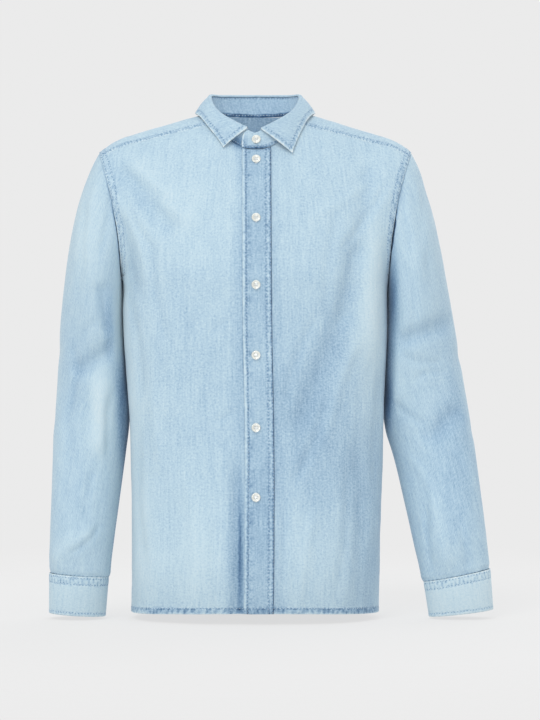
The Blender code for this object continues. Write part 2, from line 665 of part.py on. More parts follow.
def normals_of(grids):
    """Outward normals of named grids, the same for all where they meet unless at a sharp angle."""
    own = {}
    for name, grid in grids.items():
        face = np.cross(grid[1:, 1:] - grid[:-1, :-1], grid[1:, :-1] - grid[:-1, 1:])
        own[name] = np.zeros_like(grid)
        for rows in (slice(0, -1), slice(1, None)):
            for columns in (slice(0, -1), slice(1, None)):
                own[name][rows, columns] += face
    shared, _ = summed_where_they_meet(grids, own)
    normals = {}
    for name in grids:
        alone, common = unit(own[name]), unit(shared[name])
        gentle = (alone * common).sum(axis=-1, keepdims=True) > GENTLE_TURN
        normals[name] = np.where(gentle, common, alone)
    return normals


def normals_alone(grid):
    return normals_of({"grid": grid})["grid"]


def trimmed(grid, closed=False):
    """The grid with each open edge drawn in by half the gap between pieces, or a tube's by all."""
    grid = grid.copy()
    inset = GAP if closed else GAP / 2
    edges = [(grid[0], grid[1]), (grid[-1], grid[-2])]
    if not closed:
        edges += [(grid[:, 0], grid[:, 1]), (grid[:, -1], grid[:, -2])]
    for edge, inside in edges:
        edge += unit(inside - edge) * inset
    return grid


def wall(name, grid, normals, thickness, material, collection, closed=False):
    """A closed solid: the grid as its outer face, and the same grid moved inwards."""
    outer = trimmed(grid, closed)
    inner = outer - normals * thickness
    if closed:
        outer, inner = outer[:, :-1], inner[:, :-1]
    rows, columns = outer.shape[:2]
    across = columns if closed else columns - 1
    near, far = np.arange(across), (np.arange(across) + 1) % columns
    index = np.arange(rows * columns).reshape(rows, columns)
    behind = index + rows * columns
    faces = []

    def strip(a, b, c, d):
        faces.extend(zip(*(part.reshape(-1).tolist() for part in (a, b, c, d))))

    strip(index[:-1, near], index[:-1, far], index[1:, far], index[1:, near])
    strip(behind[:-1, near], behind[1:, near], behind[1:, far], behind[:-1, far])
    strip(behind[0, near], behind[0, far], index[0, far], index[0, near])
    strip(index[-1, near], index[-1, far], behind[-1, far], behind[-1, near])
    if not closed:
        strip(index[:-1, 0], index[1:, 0], behind[1:, 0], behind[:-1, 0])
        strip(index[1:, -1], index[:-1, -1], behind[:-1, -1], behind[1:, -1])
    mesh = bpy.data.meshes.new(name)
    mesh.from_pydata(np.concatenate([outer, inner]).reshape(-1, 3).tolist(), [], faces)
    mesh.materials.append(material)
    mesh.shade_smooth()
    mesh.set_sharp_from_angle(angle=math.radians(40))
    obj = bpy.data.objects.new(name, mesh)
    collection.objects.link(obj)
    return obj


def surface_material(name, color, roughness):
    material = bpy.data.materials.new(name)
    material.use_nodes = True
    shader = material.node_tree.nodes["Principled BSDF"]
    shader.inputs["Base Color"].default_value = (*color, 1)
    shader.inputs["Roughness"].default_value = roughness
    return material


def sway(grid):
    """The lower body hangs a little to one side."""
    moved = grid.copy()
    moved[..., 0] += np.interp(grid[..., 2], TORSO["z"], TORSO["centre"])
    return moved


# ---------------------------------------------------------------- buttons


def button_mesh(material):
    """A disc with a rounded rim and a shallow dish, turned about its axis, its back at z = 0."""
    profile = [(0, 0.6), (0.55, 0.6), (0.75, 1), (0.95, 0.8), (1, 0.3), (0.85, 0), (0, 0)]
    outline = bpy.data.meshes.new("button profile")
    points = [(r * BUTTON_RADIUS, 0, h * BUTTON_THICKNESS) for r, h in profile]
    outline.from_pydata(points, [(i, i + 1) for i in range(len(points) - 1)], [])
    turned = bpy.data.objects.new("button profile", outline)
    bpy.context.scene.collection.objects.link(turned)
    screw = turned.modifiers.new("turn", "SCREW")
    screw.steps = screw.render_steps = 12
    screw.use_merge_vertices = True
    screw.merge_threshold = 0.01 * MM
    depsgraph = bpy.context.evaluated_depsgraph_get()
    mesh = bpy.data.meshes.new_from_object(turned.evaluated_get(depsgraph))
    bpy.data.objects.remove(turned)
    mesh.name = "button"
    mesh.materials.append(material)
    return mesh


def add_button(name, mesh, point, normal, collection):
    button = bpy.data.objects.new(name, mesh)
    collection.objects.link(button)
    button.location = point + normal * BUTTON_LIFT
    button.rotation_euler = Vector(normal).to_track_quat("Z", "Y").to_euler()
    return button


def point_on(grid, normals, x, z):
    """The point and normal of a nearly upright front grid at x and z."""
    rows, columns = grid.shape[:2]
    row_z = grid[:, :, 2].mean(axis=1)
    order = np.argsort(row_z)
    v = np.interp(z, row_z[order], np.arange(rows)[order])
    low, part = min(int(v), rows - 2), v - min(int(v), rows - 2)
    line = (1 - part) * grid[low] + part * grid[low + 1]
    turned = (1 - part) * normals[low] + part * normals[low + 1]
    u = np.interp(x, line[:, 0], np.arange(columns))
    left, share = min(int(u), columns - 2), u - min(int(u), columns - 2)
    return (
        (1 - share) * line[left] + share * line[left + 1],
        unit((1 - share) * turned[left] + share * turned[left + 1]),
    )


# ---------------------------------------------------------------- the shirt


def cloth_grids():
    """The body's panels and the sleeves as grids of points that meet along their seams."""
    strip = strip_grid()
    left, right = front_grid(strip[:, -1]), front_grid(strip[:, 0] * [-1, 1, 1])
    grids = {
        "front_left": np.concatenate([strip[:, UNDERLAP_LINE:-1], left], axis=1),
        "front_right": np.concatenate([mirrored(right), strip[:, 1:UNDERLAP_LINE + 1]], axis=1),
        "back": back_grid(),
        "yoke": yoke_grid(),
        "sleeve_left": sleeve_grid(1),
        "sleeve_right": mirrored(sleeve_grid(-1)),
    }
    folds = {name: SLEEVE_FOLDS.get(SLEEVE_SIDES.get(name), BODY_FOLDS) for name in grids}
    grids = folded(grids, folds)
    return {name: grid if name in SLEEVE_SIDES else sway(grid) for name, grid in grids.items()}


def main():
    for obj in list(bpy.data.objects):
        bpy.data.objects.remove(obj)
    shirt = bpy.data.collections.new("denim shirt")
    bpy.context.scene.collection.children.link(shirt)
    denim = surface_material("light denim", (0.40, 0.55, 0.66), 0.9)
    trim = surface_material("light denim, trim", (0.37, 0.52, 0.65), 0.9)
    pearl = surface_material("pearl white", (0.85, 0.85, 0.82), 0.3)
    button = button_mesh(pearl)

    grids = cloth_grids()
    normals = normals_of(grids)
    for name, grid in grids.items():
        if name in SLEEVE_SIDES:
            for word, (first, last) in SLEEVE_STRETCHES.items():
                rows = slice(first, last + 1)
                wall(f"{name}_{word}", grid[rows], normals[name][rows], CLOTH, denim, shirt, True)
        else:
            wall(name, grid, normals[name], CLOTH, denim, shirt)

    placket, placket_out = placket_grid(grids, normals)
    wall("placket", placket, placket_out, CLOTH, trim, shirt)
    stand, collar = stand_grid(), leaf_grid()
    stand_out = normals_alone(stand)
    wall("collar_stand", stand, stand_out, DOUBLE_CLOTH, trim, shirt)
    wall("collar", collar, normals_alone(collar), DOUBLE_CLOTH, trim, shirt)
    lapped = slice(0, len(STRIP_LINES))
    place = point_on(stand[:, lapped], stand_out[:, lapped], BUTTON_X, BUTTON_Z[0])
    add_button("button_1", button, *place, shirt)
    for number, z in enumerate(BUTTON_Z[1:], 2):
        add_button(f"button_{number}", button, *point_on(placket, placket_out, BUTTON_X, z), shirt)

    for name, side in SLEEVE_SIDES.items():
        word = name.split("_")[1]
        strip, strip_out = sleeve_placket_grid(grids[name], normals[name], side)
        wall(f"sleeve_placket_{word}", strip, strip_out, CLOTH, trim, shirt)
        cuff = cuff_grid(side) if side > 0 else mirrored(cuff_grid(side))
        cuff_out = normals_alone(cuff)
        wall(f"cuff_{word}", cuff, cuff_out, DOUBLE_CLOTH, trim, shirt)
        end = -3 if side > 0 else 2
        point, normal = cuff[1:3, end].mean(axis=0), unit(cuff_out[1:3, end].mean(axis=0))
        add_button(f"cuff_button_{word}", button, point, normal, shirt)


main()
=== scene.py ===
"""The denim shirt's looks: fine shells of cloth in place of the plain CAD walls, their seams,
stitches, folds, wash and painted light and shade, detailed buttons, and a plain pale stage.

Metres, +Z up. The shirt faces -Y, and +X is the wearer's left. The form is the CAD model's
own: the same sections, seams and large folds, worked out again here on finer grids.
"""

import math

import bpy
import numpy as np
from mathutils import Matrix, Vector


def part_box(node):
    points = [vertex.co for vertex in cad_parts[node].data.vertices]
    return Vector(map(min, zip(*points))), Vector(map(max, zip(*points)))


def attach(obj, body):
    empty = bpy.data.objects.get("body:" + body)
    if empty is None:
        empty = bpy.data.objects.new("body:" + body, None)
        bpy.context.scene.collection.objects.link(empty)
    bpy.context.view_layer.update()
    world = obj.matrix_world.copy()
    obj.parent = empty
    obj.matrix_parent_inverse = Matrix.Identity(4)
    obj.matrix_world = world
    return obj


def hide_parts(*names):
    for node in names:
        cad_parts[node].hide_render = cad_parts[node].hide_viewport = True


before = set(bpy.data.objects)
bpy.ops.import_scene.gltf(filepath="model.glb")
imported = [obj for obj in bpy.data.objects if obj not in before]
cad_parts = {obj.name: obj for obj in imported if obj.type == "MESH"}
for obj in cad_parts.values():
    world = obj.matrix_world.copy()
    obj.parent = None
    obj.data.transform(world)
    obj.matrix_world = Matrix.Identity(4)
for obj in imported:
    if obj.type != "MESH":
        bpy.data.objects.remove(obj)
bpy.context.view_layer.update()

MM = 0.001
GAP = 0.3 * MM
CLOTH = 1.5 * MM
DOUBLE_CLOTH = 2.0 * MM
LAP_GAP = 0.4 * MM


def table(columns, *rows):
    """A table in millimetres as one array in metres for each named column."""
    return dict(zip(columns.split(), np.array(rows, float).T * MM))


# ================================================================ the form, as in the CAD

# Torso sections, from the hem up. Above the armpit the width is the one inside the armholes.
ARMPIT_Z = -241 * MM
HEM_Z, HEM_SIDE_DROP = -723 * MM, 6 * MM
SECTION_POWER = 2.4  # 2 is an ellipse, more is squarer
TORSO = table(
    "z     half_width front back centre",
    (-760, 182.5,     121,  112, -0.5),
    (-640, 183.5,     122,  110, 1.5),
    (-540, 185,       122,  106, 2.5),
    (-430, 188.5,     123,  105, 2),
    (-340, 193.5,     124,  109, 0.5),
    (-290, 195.3,     124,  113, 0),
    (-241, 197,       124,  117, 0),
    (-196, 209,       124,  120, 0),
    (-150, 226,       124,  122, 0),
    (-105, 241,       124,  122, 0),
    (-60,  252,       124,  122, 0),
    (60,   262,       124,  122, 0),
)
FRONT_PROFILE, BACK_PROFILE = 1.25, 2.8  # how soon chest and back lean in towards the shoulder
RIDGE_ROUNDNESS = 0.55

# Shoulders, armholes and yoke
RIDGE_X, RIDGE_Z, SHOULDER_SLOPE = 92 * MM, 1.2 * MM, 0.305
RIDGE_CENTRE_ROUNDING = 30 * MM  # rounds the peak that the two slopes would make at x = 0
ROUNDED_FROM_X, ROUNDING = 190 * MM, 6.6
SHOULDER_X = 230 * MM
ARMHOLE_HALF_DEPTH, ARMHOLE_Y = 58.5 * MM, 1.5 * MM
ARMHOLE_SCOOP = 8.5 * MM
ARMHOLE_BLEND = 75 * MM  # how far inside the armhole a panel starts to turn towards it
FRONT_SEAM_ANGLE, BACK_SEAM_ANGLE = math.radians(27), math.radians(60)
BACK_YOKE_Z = -108 * MM

# Neck: angles are 0 at the front, 90 degrees at the +X side and 180 at the back
NECK_HALF_WIDTH = 66 * MM
NECK_FRONT_Z, NECK_BACK_Z = -50 * MM, 5 * MM
NECK_FRONT_ROUNDNESS, NECK_BACK_ROUNDNESS = 2.5, 4  # 2 is V-like in plan, more is rounder
FRONT_YOKE_NECK_ANGLE, BACK_NECK_ANGLE = math.radians(59), math.radians(112)

# Centre front: x at the neck of the lines that divide the strip under the placket
STRIP_LINES = np.array([-18.5, -7, 5, 17, 23.5]) * MM
UNDERLAP_LINE = 3  # the right front ends at this line, under the placket
PLACKET_DRIFT = 3.5 * MM  # how far the placket leans towards +X from neck to hem
PLACKET_TOP_CUT = 2.5 * MM

# Collar
COLLAR_FOLD_RADIUS = 3.2 * MM
STAND_TOP_Z = table("angle z", (0, -27), (50, 2), (90, 29), (135, 33.5), (180, 35))
STAND_CORNER, STAND_CORNER_DROP = 12 * MM, 0.75  # its rounded ends: length, share of height
STAND_LEAN_FRONT, STAND_LEAN_BACK = 0.91, 0.96
LEAF_START_X = {1: 8 * MM, -1: 10.5 * MM}
LEAF_TIP = {1: (53 * MM, -60 * MM), -1: (45 * MM, -52 * MM)}
LEAF_BACK_Z = 3 * MM
LEAF_CLEARANCE = 2.4 * MM
LEAF_BULGE = 1.5 * MM
LEAF_LOW_CENTRE_Z = -150 * MM  # the leaf's outer edge stands off away from this point
LEAF_EDGE = (
    # turn   x    height: 1 as high as the tip in front, or as low as the back's edge behind
    (0.12, 71,  0.58),
    (0.25, 87,  0),
    (0.37, 70,  -0.62),
)
FOLD_FROM, FOLD_TO = 180, 15  # degrees round the collar's fold, from the stand to the leaf
FRONT_LAP = math.radians(25)  # over this angle the +X ends of stand and leaf lift over the others

# Sleeve sections: x of the outer and inner line at height z, and the section's depth
SLEEVES = {
    1: table(
        "z     outer  inner  half_depth y",
        (-51,  230,   197,   58.5,      1.5),
        (-70,  240,   197,   58.5,      1.5),
        (-110, 253,   197,   58.5,      1.5),
        (-146, 264,   197,   58.5,      1.5),
        (-190, 274,   197,   64,        3),
        (-241, 284,   197,   69,        7),
        (-300, 295,   195.9, 69,        14),
        (-358, 305,   193.4, 62,        20),
        (-410, 313,   191.6, 54,        21),
        (-440, 318,   191.9, 50,        19),
        (-469, 323,   196,   48,        16),
        (-491, 326,   203,   47,        13),
        (-570, 336,   222,   46,        1),
        (-630, 343,   235,   43,        -8),
        (-690, 348,   248,   38,        -14),
    ),
    -1: table(
        "z     outer  inner  half_depth y",
        (-51,  230,   197,   58.5,      1.5),
        (-70,  240,   197,   58.5,      1.5),
        (-110, 256,   197,   58.5,      1.5),
        (-146, 266,   197,   58.5,      1.5),
        (-190, 275,   197,   64,        3),
        (-241, 282.5, 197,   70,        7),
        (-300, 289,   195.9, 70,        14),
        (-358, 292,   192.2, 64,        20),
        (-410, 295,   188,   59,        21),
        (-440, 297,   187.6, 54,        19),
        (-469, 299,   189.3, 53,        16),
        (-491, 299.5, 192,   52,        13),
        (-570, 301.5, 202,   49,        1),
        (-630, 303,   209.5, 45,        -8),
        (-690, 304,   215,   39,        -14),
    ),
}
SCOOP_FADE = 0.2  # share of the sleeve's length over which the armhole's scoop fades out

# Cuff edges: x and z of the outer and inner end, and the depth
CUFFS = {
    1: table(
        "outer outer_z inner inner_z half_depth y",
        (347,  -666,   248.5, -685,  29,        -15),
        (351,  -725,   256,   -736,  28,        -19),
    ),
    -1: table(
        "outer outer_z inner inner_z half_depth y",
        (303.5, -672,  215.5, -678,  35,        -15),
        (303.5, -730,  220,   -735,  34,        -19),
    ),
}
SLEEVE_FULLNESS = 1.02  # the sleeve's last section is this much wider than the cuff
GATHER_FROM = 0.88  # share of the sleeve's length where it starts to draw in to the cuff
CUFF_END_ANGLE, CUFF_OVERLAP = math.radians(-75), math.radians(45)
CUFF_LAP = 3 * 2 * math.pi / 28  # over this angle the cuff's end lifts off its start

# Large folds, in front (-1) and behind (1): each runs from one point to another, a negative
# depth is a trough, and width is from its middle to where it is a third as deep
FOLD_END = 0.3  # share of a fold's length over which it fades at each end
SIDE_BLEND = 30 * MM  # depth over which a fold on one face fades at the side
SLEEVE_INSIDE = (0.95, 0.45)  # how squarely the sleeve faces the body: no fold, full fold
BODY_FOLDS = {
    -1: (
        # x z to_x to_z width depth
        (-203, -72,  -120, -172, 15, -7),
        (-186, -62,  -92,  -160, 15, 4),
        (-198, -150, -176, -262, 12, -5),
        (168,  -75,  152,  -205, 15, -5),
        (153,  -195, 128,  -305, 17, -8),
        (129,  -295, 62,   -455, 18, -6),
        (174,  -185, 166,  -350, 16, 5),
        (-27,  -520, -25,  -735, 10, -6),
        (150,  -480, 158,  -735, 18, -5),
        (-120, -560, -128, -735, 22, -4),
    ),
    1: (
        (-196, -150, -112, -235, 16, -7),
        (190,  -140, 96,   -262, 16, -8),
        (60,   -330, 44,   -640, 24, -6),
        (-72,  -420, -92,  -735, 24, -7),
        (-10,  -135, -4,   -330, 20, 5),
    ),
}
SLEEVE_FOLDS = {
    "sleeve_left": {
        -1: (
            # x z to_x to_z width depth
            (206, -334, 292, -300, 13, -7),
            (196, -322, 206, -420, 13, 6),
            (262, -560, 282, -662, 13, 4),
            (300, -430, 254, -476, 14, -5),
        ),
        1: (
            (214, -380, 306, -350, 14, -8),
            (236, -440, 322, -470, 14, -6),
            (330, -560, 262, -640, 13, -5),
        ),
    },
    "sleeve_right": {
        -1: (
            # x z to_x to_z width depth
            (-202, -338, -262, -376, 13, -7),
            (-224, -250, -212, -318, 13, -5),
            (-224, -388, -228, -492, 13, 5),
            (-238, -606, -298, -652, 13, 4),
        ),
        1: (
            (-206, -366, -288, -342, 14, -8),
            (-214, -430, -292, -452, 14, -6),
            (-226, -560, -296, -630, 13, -5),
        ),
    },
}

SLEEVE_SIDES = {"sleeve_left": 1, "sleeve_right": -1}
GENTLE_TURN = 0.7  # cosine: two walls that meet at less than this angle share a mitre


# ---------------------------------------------------------------- fine grids


def eased(count, first=1.0, last=1.0):
    """Shares from 0 to 1 whose steps at the two ends are first and last times the mean one."""
    s = np.linspace(0, 1, count + 1)
    return first * (s**3 - 2 * s**2 + s) + 3 * s**2 - 2 * s**3 + last * (s**3 - s**2)


LOW = eased(170, 0.35, 1.1)  # rows from hem to armpit
UP = eased(62, 1.0, 0.5)  # rows from armpit to yoke
ARMPIT_SHARE = 0.7  # where the armpit's row lies between a front's hem and its top
NECK_COLUMNS = eased(16)
SEAM_COLUMNS = eased(60, 1.0, 0.5)  # along the front yoke seam
FRONT_U = eased(76, 0.8, 0.5)
BACK_U = eased(160, 0.5, 0.5)
YOKE_ARM = eased(34)
SLEEVE_V = eased(200, 0.5, 0.45)
CUFF_TURNS, CUFF_V = eased(150, 0.5, 0.5), eased(30, 0.6, 0.6)
STAND_TURNS, STAND_V = eased(240, 0.5, 0.5), np.linspace(0, 1, 19)
LEAF_TURNS, LEAF_V, FOLD_ROWS = eased(230, 0.5, 0.5), eased(34, 0.8, 0.45), 14
STRIP_FINE = np.concatenate([
    STRIP_LINES[0] + (STRIP_LINES[3] - STRIP_LINES[0]) * eased(26, 0.55, 1)[:-1],
    np.linspace(STRIP_LINES[3], STRIP_LINES[4], 8),
])
UNDERLAP = 26  # the column of STRIP_FINE where the right front ends
TUCK_FROM, TUCK_DEPTH = 0.985, 0.9 * MM  # the sleeve's end goes in under the cuff
AVERAGED_OVER = np.array([0, 4, 10, 22, 45, 80]) * MM  # heights, in turn_to_armhole
SPREAD, FULL_SPREAD_BELOW = 0.8, 50 * MM  # how fast that height grows inwards, and from where


def spline(xs, ys, at):
    """A smooth curve through the points (xs, ys), read at the values in at."""
    slopes = np.gradient(ys, xs)
    at = np.clip(np.asarray(at, float), xs[0], xs[-1])
    i = np.clip(np.searchsorted(xs, at, side="right") - 1, 0, len(xs) - 2)
    step = xs[i + 1] - xs[i]
    t = (at - xs[i]) / step
    return (
        (1 + 2 * t) * (1 - t) ** 2 * ys[i]
        + t * (1 - t) ** 2 * step * slopes[i]
        + t**2 * (3 - 2 * t) * ys[i + 1]
        + t**2 * (t - 1) * step * slopes[i + 1]
    )


def smooth(t):
    t = np.clip(t, 0, 1)
    return t * t * (3 - 2 * t)


def unit(vectors):
    return vectors / np.maximum(np.linalg.norm(vectors, axis=-1, keepdims=True), 1e-12)


def pairs(a, b):
    return np.stack(np.broadcast_arrays(a, b), axis=-1)


def coons(bottom, top, left, right, u, v):
    """A grid of points between four edges: bottom and top run along u, left and right along v."""
    u, v = u[None, :, None], v[:, None, None]
    bottom, top = bottom[None], top[None]
    left, right = left[:, None], right[:, None]
    low_corners = (1 - u) * bottom[:, :1] + u * bottom[:, -1:]
    high_corners = (1 - u) * top[:, :1] + u * top[:, -1:]
    corners = (1 - v) * low_corners + v * high_corners
    return (1 - v) * bottom + v * top + (1 - u) * left + u * right - corners


def mirrored(grid):
    return (grid * np.array([-1, 1, 1]))[:, ::-1]


def torso(column, z):
    return spline(TORSO["z"], TORSO[column], z)


def ridge(x):
    """Height of the top of the shoulder."""
    out = np.hypot(x, RIDGE_CENTRE_ROUNDING) - math.hypot(RIDGE_X, RIDGE_CENTRE_ROUNDING)
    rounded = np.clip(np.abs(x) - ROUNDED_FROM_X, 0, None)
    return RIDGE_Z - SHOULDER_SLOPE * out - ROUNDING * rounded**2


def body(x, z, face):
    """The point of the body's surface at x and z, in front (face -1) or behind (face 1)."""
    share = np.clip(np.abs(x) / torso("half_width", z), 0, 1)
    across = (1 - share**SECTION_POWER) ** (1 / SECTION_POWER)
    up = np.clip((z - ARMPIT_Z) / (ridge(x) - ARMPIT_Z), 0, 1)
    front = -torso("front", z) * (1 - up**FRONT_PROFILE) ** RIDGE_ROUNDNESS
    behind = torso("back", z) * (1 - up**BACK_PROFILE) ** RIDGE_ROUNDNESS
    y = across * np.where(np.asarray(face) < 0, front, behind)
    return np.stack(np.broadcast_arrays(x, y, z), axis=-1)


def x_to_angle(x, z):
    share = np.clip(np.abs(x) / torso("half_width", z), 0, 1)
    return np.sign(x) * np.arcsin(share ** (SECTION_POWER / 2))


def angle_to_x(angle, z):
    return np.sign(angle) * torso("half_width", z) * np.abs(np.sin(angle)) ** (2 / SECTION_POWER)


def z_to_tilt(x, z, face):
    """0 on the ridge of the shoulder, -1 or 1 at armpit height in front or behind."""
    up = (z - ARMPIT_Z) / (ridge(x) - ARMPIT_Z)
    return face * np.sqrt(np.clip(1 - up, 0, None))


def from_tilt(x, tilt):
    z = ARMPIT_Z + (1 - tilt**2) * (ridge(x) - ARMPIT_Z)
    return body(x, z, np.where(tilt < 0, -1, 1))


def armhole(angle):
    """The armhole seam on the +X side: 0 on the shoulder, 180 degrees at the armpit, + in front."""
    top = np.array([SHOULDER_X, ridge(SHOULDER_X)])
    foot = np.array([torso("half_width", ARMPIT_Z), ARMPIT_Z])
    middle, half = (top + foot) / 2, (top - foot) / 2
    x = middle[0] + half[0] * np.cos(angle) - ARMHOLE_SCOOP * np.sin(angle) ** 2
    y = ARMHOLE_Y - ARMHOLE_HALF_DEPTH * np.sin(angle)
    return np.stack([x, y, middle[1] + half[1] * np.cos(angle)], axis=-1)


def neck(angle):
    """The x and z of the neck seam."""
    front = np.cos(angle) > 0
    side_z = ridge(NECK_HALF_WIDTH)
    end_z = np.where(front, NECK_FRONT_Z, NECK_BACK_Z)
    roundness = np.where(front, NECK_FRONT_ROUNDNESS, NECK_BACK_ROUNDNESS)
    rise = np.abs(np.sin(angle)) ** roundness
    return NECK_HALF_WIDTH * np.sin(angle), end_z + (side_z - end_z) * rise


def neck_point(angle):
    x, z = neck(angle)
    return body(x, z, np.where(np.cos(angle) > 0, -1, 1))


def front_seam_z(x):
    neck_x, neck_z = neck(FRONT_YOKE_NECK_ANGLE)
    arm_x, _, arm_z = armhole(FRONT_SEAM_ANGLE)
    share = (np.abs(x) - neck_x) / (arm_x - neck_x)
    return ridge(x) - (1 - share) * (ridge(neck_x) - neck_z) - share * (ridge(arm_x) - arm_z)


def back_seam_z(x):
    arm = armhole(-BACK_SEAM_ANGLE)
    share = (x / arm[0]) ** 2
    return (1 - share) * BACK_YOKE_Z + share * arm[2]


def hem_z(angle):
    return HEM_Z - HEM_SIDE_DROP * np.sin(angle) ** 2


def side_edge(seam_angle, face):
    """The side seam with the armhole above it, as (angle, z), and the armhole angle of each row."""
    start = hem_z(math.pi / 2)
    low_z = start + (ARMPIT_Z - start) * LOW[:-1]
    arm_angles = -face * (math.pi + (seam_angle - math.pi) * UP)
    hole = armhole(arm_angles)
    z = np.concatenate([low_z, hole[:, 2]])
    x = np.concatenate([torso("half_width", low_z), hole[:, 0]])
    angles = np.concatenate([np.full(len(low_z), math.pi), arm_angles])
    return pairs(x_to_angle(x, z), z), angles


def turn_to_armhole(points, arm_angles):
    """Moves the points near the +X armhole so that the last column lies on its seam.

    Further in, the move is averaged over more and more height, so that it starts softly.
    """
    wanted = armhole(arm_angles)
    below = wanted[:, 2] > points[:, -1, 2] + GAP
    moves = [np.where(below[:, None], 0, wanted - points[:, -1])]
    away = np.clip(points[:, -1:, 0] - points[:, :, 0], 0, None)
    z = points[:, -1, 2]
    for reach in AVERAGED_OVER[1:]:
        weight = np.exp(-(((z[:, None] - z) / reach) ** 2)) * np.gradient(z)
        moves.append(weight @ moves[0] / weight.sum(axis=1, keepdims=True))
    moves = np.stack(moves)
    reach = SPREAD * away * np.clip((z[-1] - z) / FULL_SPREAD_BELOW, 0, 1)[:, None]
    level = np.interp(reach, AVERAGED_OVER, np.arange(len(AVERAGED_OVER)))
    low = np.minimum(level.astype(int), len(AVERAGED_OVER) - 2)
    share, row = (level - low)[..., None], np.arange(len(z))[:, None]
    move = (1 - share) * moves[low, row] + share * moves[low + 1, row]
    return points + move * smooth(1 - away / ARMHOLE_BLEND)[..., None]


def strip_grid():
    """The strip of the body's surface under the placket."""
    columns = []
    for line in STRIP_FINE:
        top = neck(np.arcsin(line / NECK_HALF_WIDTH))[1]
        low = HEM_Z + (ARMPIT_Z - HEM_Z) * LOW[:-1]
        z = np.concatenate([low, ARMPIT_Z + (top - ARMPIT_Z) * UP])
        drift = PLACKET_DRIFT * (NECK_FRONT_Z - z) / (NECK_FRONT_Z - HEM_Z)
        columns.append(body(line + drift, z, -1))
    return np.stack(columns, axis=1)


def front_grid(strip_edge):
    """The +X front, from the strip's last column to the side seam and armhole."""
    edge_z = strip_edge[:, 2]
    left = pairs(x_to_angle(strip_edge[:, 0], edge_z), edge_z)
    right, arm_angles = side_edge(FRONT_SEAM_ANGLE, -1)
    bottom_angle = left[0, 0] + (math.pi / 2 - left[0, 0]) * FRONT_U
    bottom = pairs(bottom_angle, hem_z(bottom_angle))
    start = math.asin(strip_edge[-1, 0] / NECK_HALF_WIDTH)
    neck_x, neck_z = neck(start + (FRONT_YOKE_NECK_ANGLE - start) * NECK_COLUMNS)
    seam_x = neck_x[-1] + (armhole(FRONT_SEAM_ANGLE)[0] - neck_x[-1]) * SEAM_COLUMNS[1:]
    top_x = np.concatenate([neck_x, seam_x])
    top_z = np.concatenate([neck_z, front_seam_z(seam_x)])
    top = pairs(x_to_angle(top_x, top_z), top_z)
    up = np.concatenate([LOW[:-1] * ARMPIT_SHARE, ARMPIT_SHARE + (1 - ARMPIT_SHARE) * UP])
    grid = coons(bottom, top, left, right, FRONT_U, up)
    points = body(angle_to_x(grid[..., 0], grid[..., 1]), grid[..., 1], -1)
    return turn_to_armhole(points, arm_angles)


def back_grid():
    right, arm_angles = side_edge(BACK_SEAM_ANGLE, 1)
    bottom_angle = math.pi * (BACK_U - 0.5)
    top_x = armhole(BACK_SEAM_ANGLE)[0] * (2 * BACK_U - 1)
    top_z = back_seam_z(top_x)
    top = pairs(x_to_angle(top_x, top_z), top_z)
    bottom = pairs(bottom_angle, hem_z(bottom_angle))
    heights = (right[:, 1] - right[0, 1]) / (right[-1, 1] - right[0, 1])
    grid = coons(bottom, top, right * [-1, 1], right, BACK_U, heights)
    points = body(angle_to_x(grid[..., 0], grid[..., 1]), grid[..., 1], 1)
    for _ in range(2):
        points = mirrored(turn_to_armhole(points, arm_angles))
    return points[:, ::-1]


def yoke_grid():
    """The yoke, round the neck from its +X front seam to its -X one: neck first, outer edge last."""
    arm_angles = FRONT_SEAM_ANGLE - (FRONT_SEAM_ANGLE + BACK_SEAM_ANGLE) * YOKE_ARM
    hole = armhole(arm_angles)
    arm = pairs(hole[:, 0], z_to_tilt(hole[:, 0], hole[:, 2], np.where(arm_angles > 0, -1, 1)))
    back_x = hole[-1, 0] * (1 - 2 * BACK_U)[1:-1]
    back = pairs(back_x, z_to_tilt(back_x, back_seam_z(back_x), 1))
    outer = np.concatenate([arm, back, arm[::-1] * [-1, 1]])
    side = FRONT_YOKE_NECK_ANGLE + (BACK_NECK_ANGLE - FRONT_YOKE_NECK_ANGLE) * YOKE_ARM
    behind = BACK_NECK_ANGLE + 2 * (math.pi - BACK_NECK_ANGLE) * BACK_U[1:-1]
    angles = np.concatenate([side, behind, (2 * math.pi - side)[::-1]])
    neck_x, neck_z = neck(angles)
    inner = pairs(neck_x, z_to_tilt(neck_x, neck_z, np.where(np.cos(angles) > 0, -1, 1)))
    seam_x = inner[0, 0] + (outer[0, 0] - inner[0, 0]) * SEAM_COLUMNS
    end = pairs(seam_x, z_to_tilt(seam_x, front_seam_z(seam_x), -1))
    u = np.linspace(0, 1, len(outer))
    grid = coons(inner, outer, end, end * [-1, 1], u, SEAM_COLUMNS)
    points = from_tilt(grid[..., 0], grid[..., 1])
    half = len(YOKE_ARM) - 1 + len(BACK_U) // 2
    miss = np.zeros((half + 1, 3))
    miss[: len(hole)] = hole - points[-1, : len(hole)]
    first = points[:, : half + 1]
    away = np.linalg.norm(first[-1:] - first, axis=-1)
    first = first + miss[None] * smooth(1 - away / ARMHOLE_BLEND)[..., None]
    return np.concatenate([first, mirrored(first)[:, 1:]], axis=1)


# How much closer to the body the sleeves lie here than in the CAD, so that no light shows between
SLEEVE_CLOSER = table(
    "z by",
    (-215, 0), (-230, 0.9), (-250, 0.75), (-270, 0.8), (-290, 0.4), (-310, 0.15), (-330, 0),
    (-380, 0), (-395, 0.3), (-410, 1.0), (-430, 1.4), (-450, 0.6), (-475, 0),
)


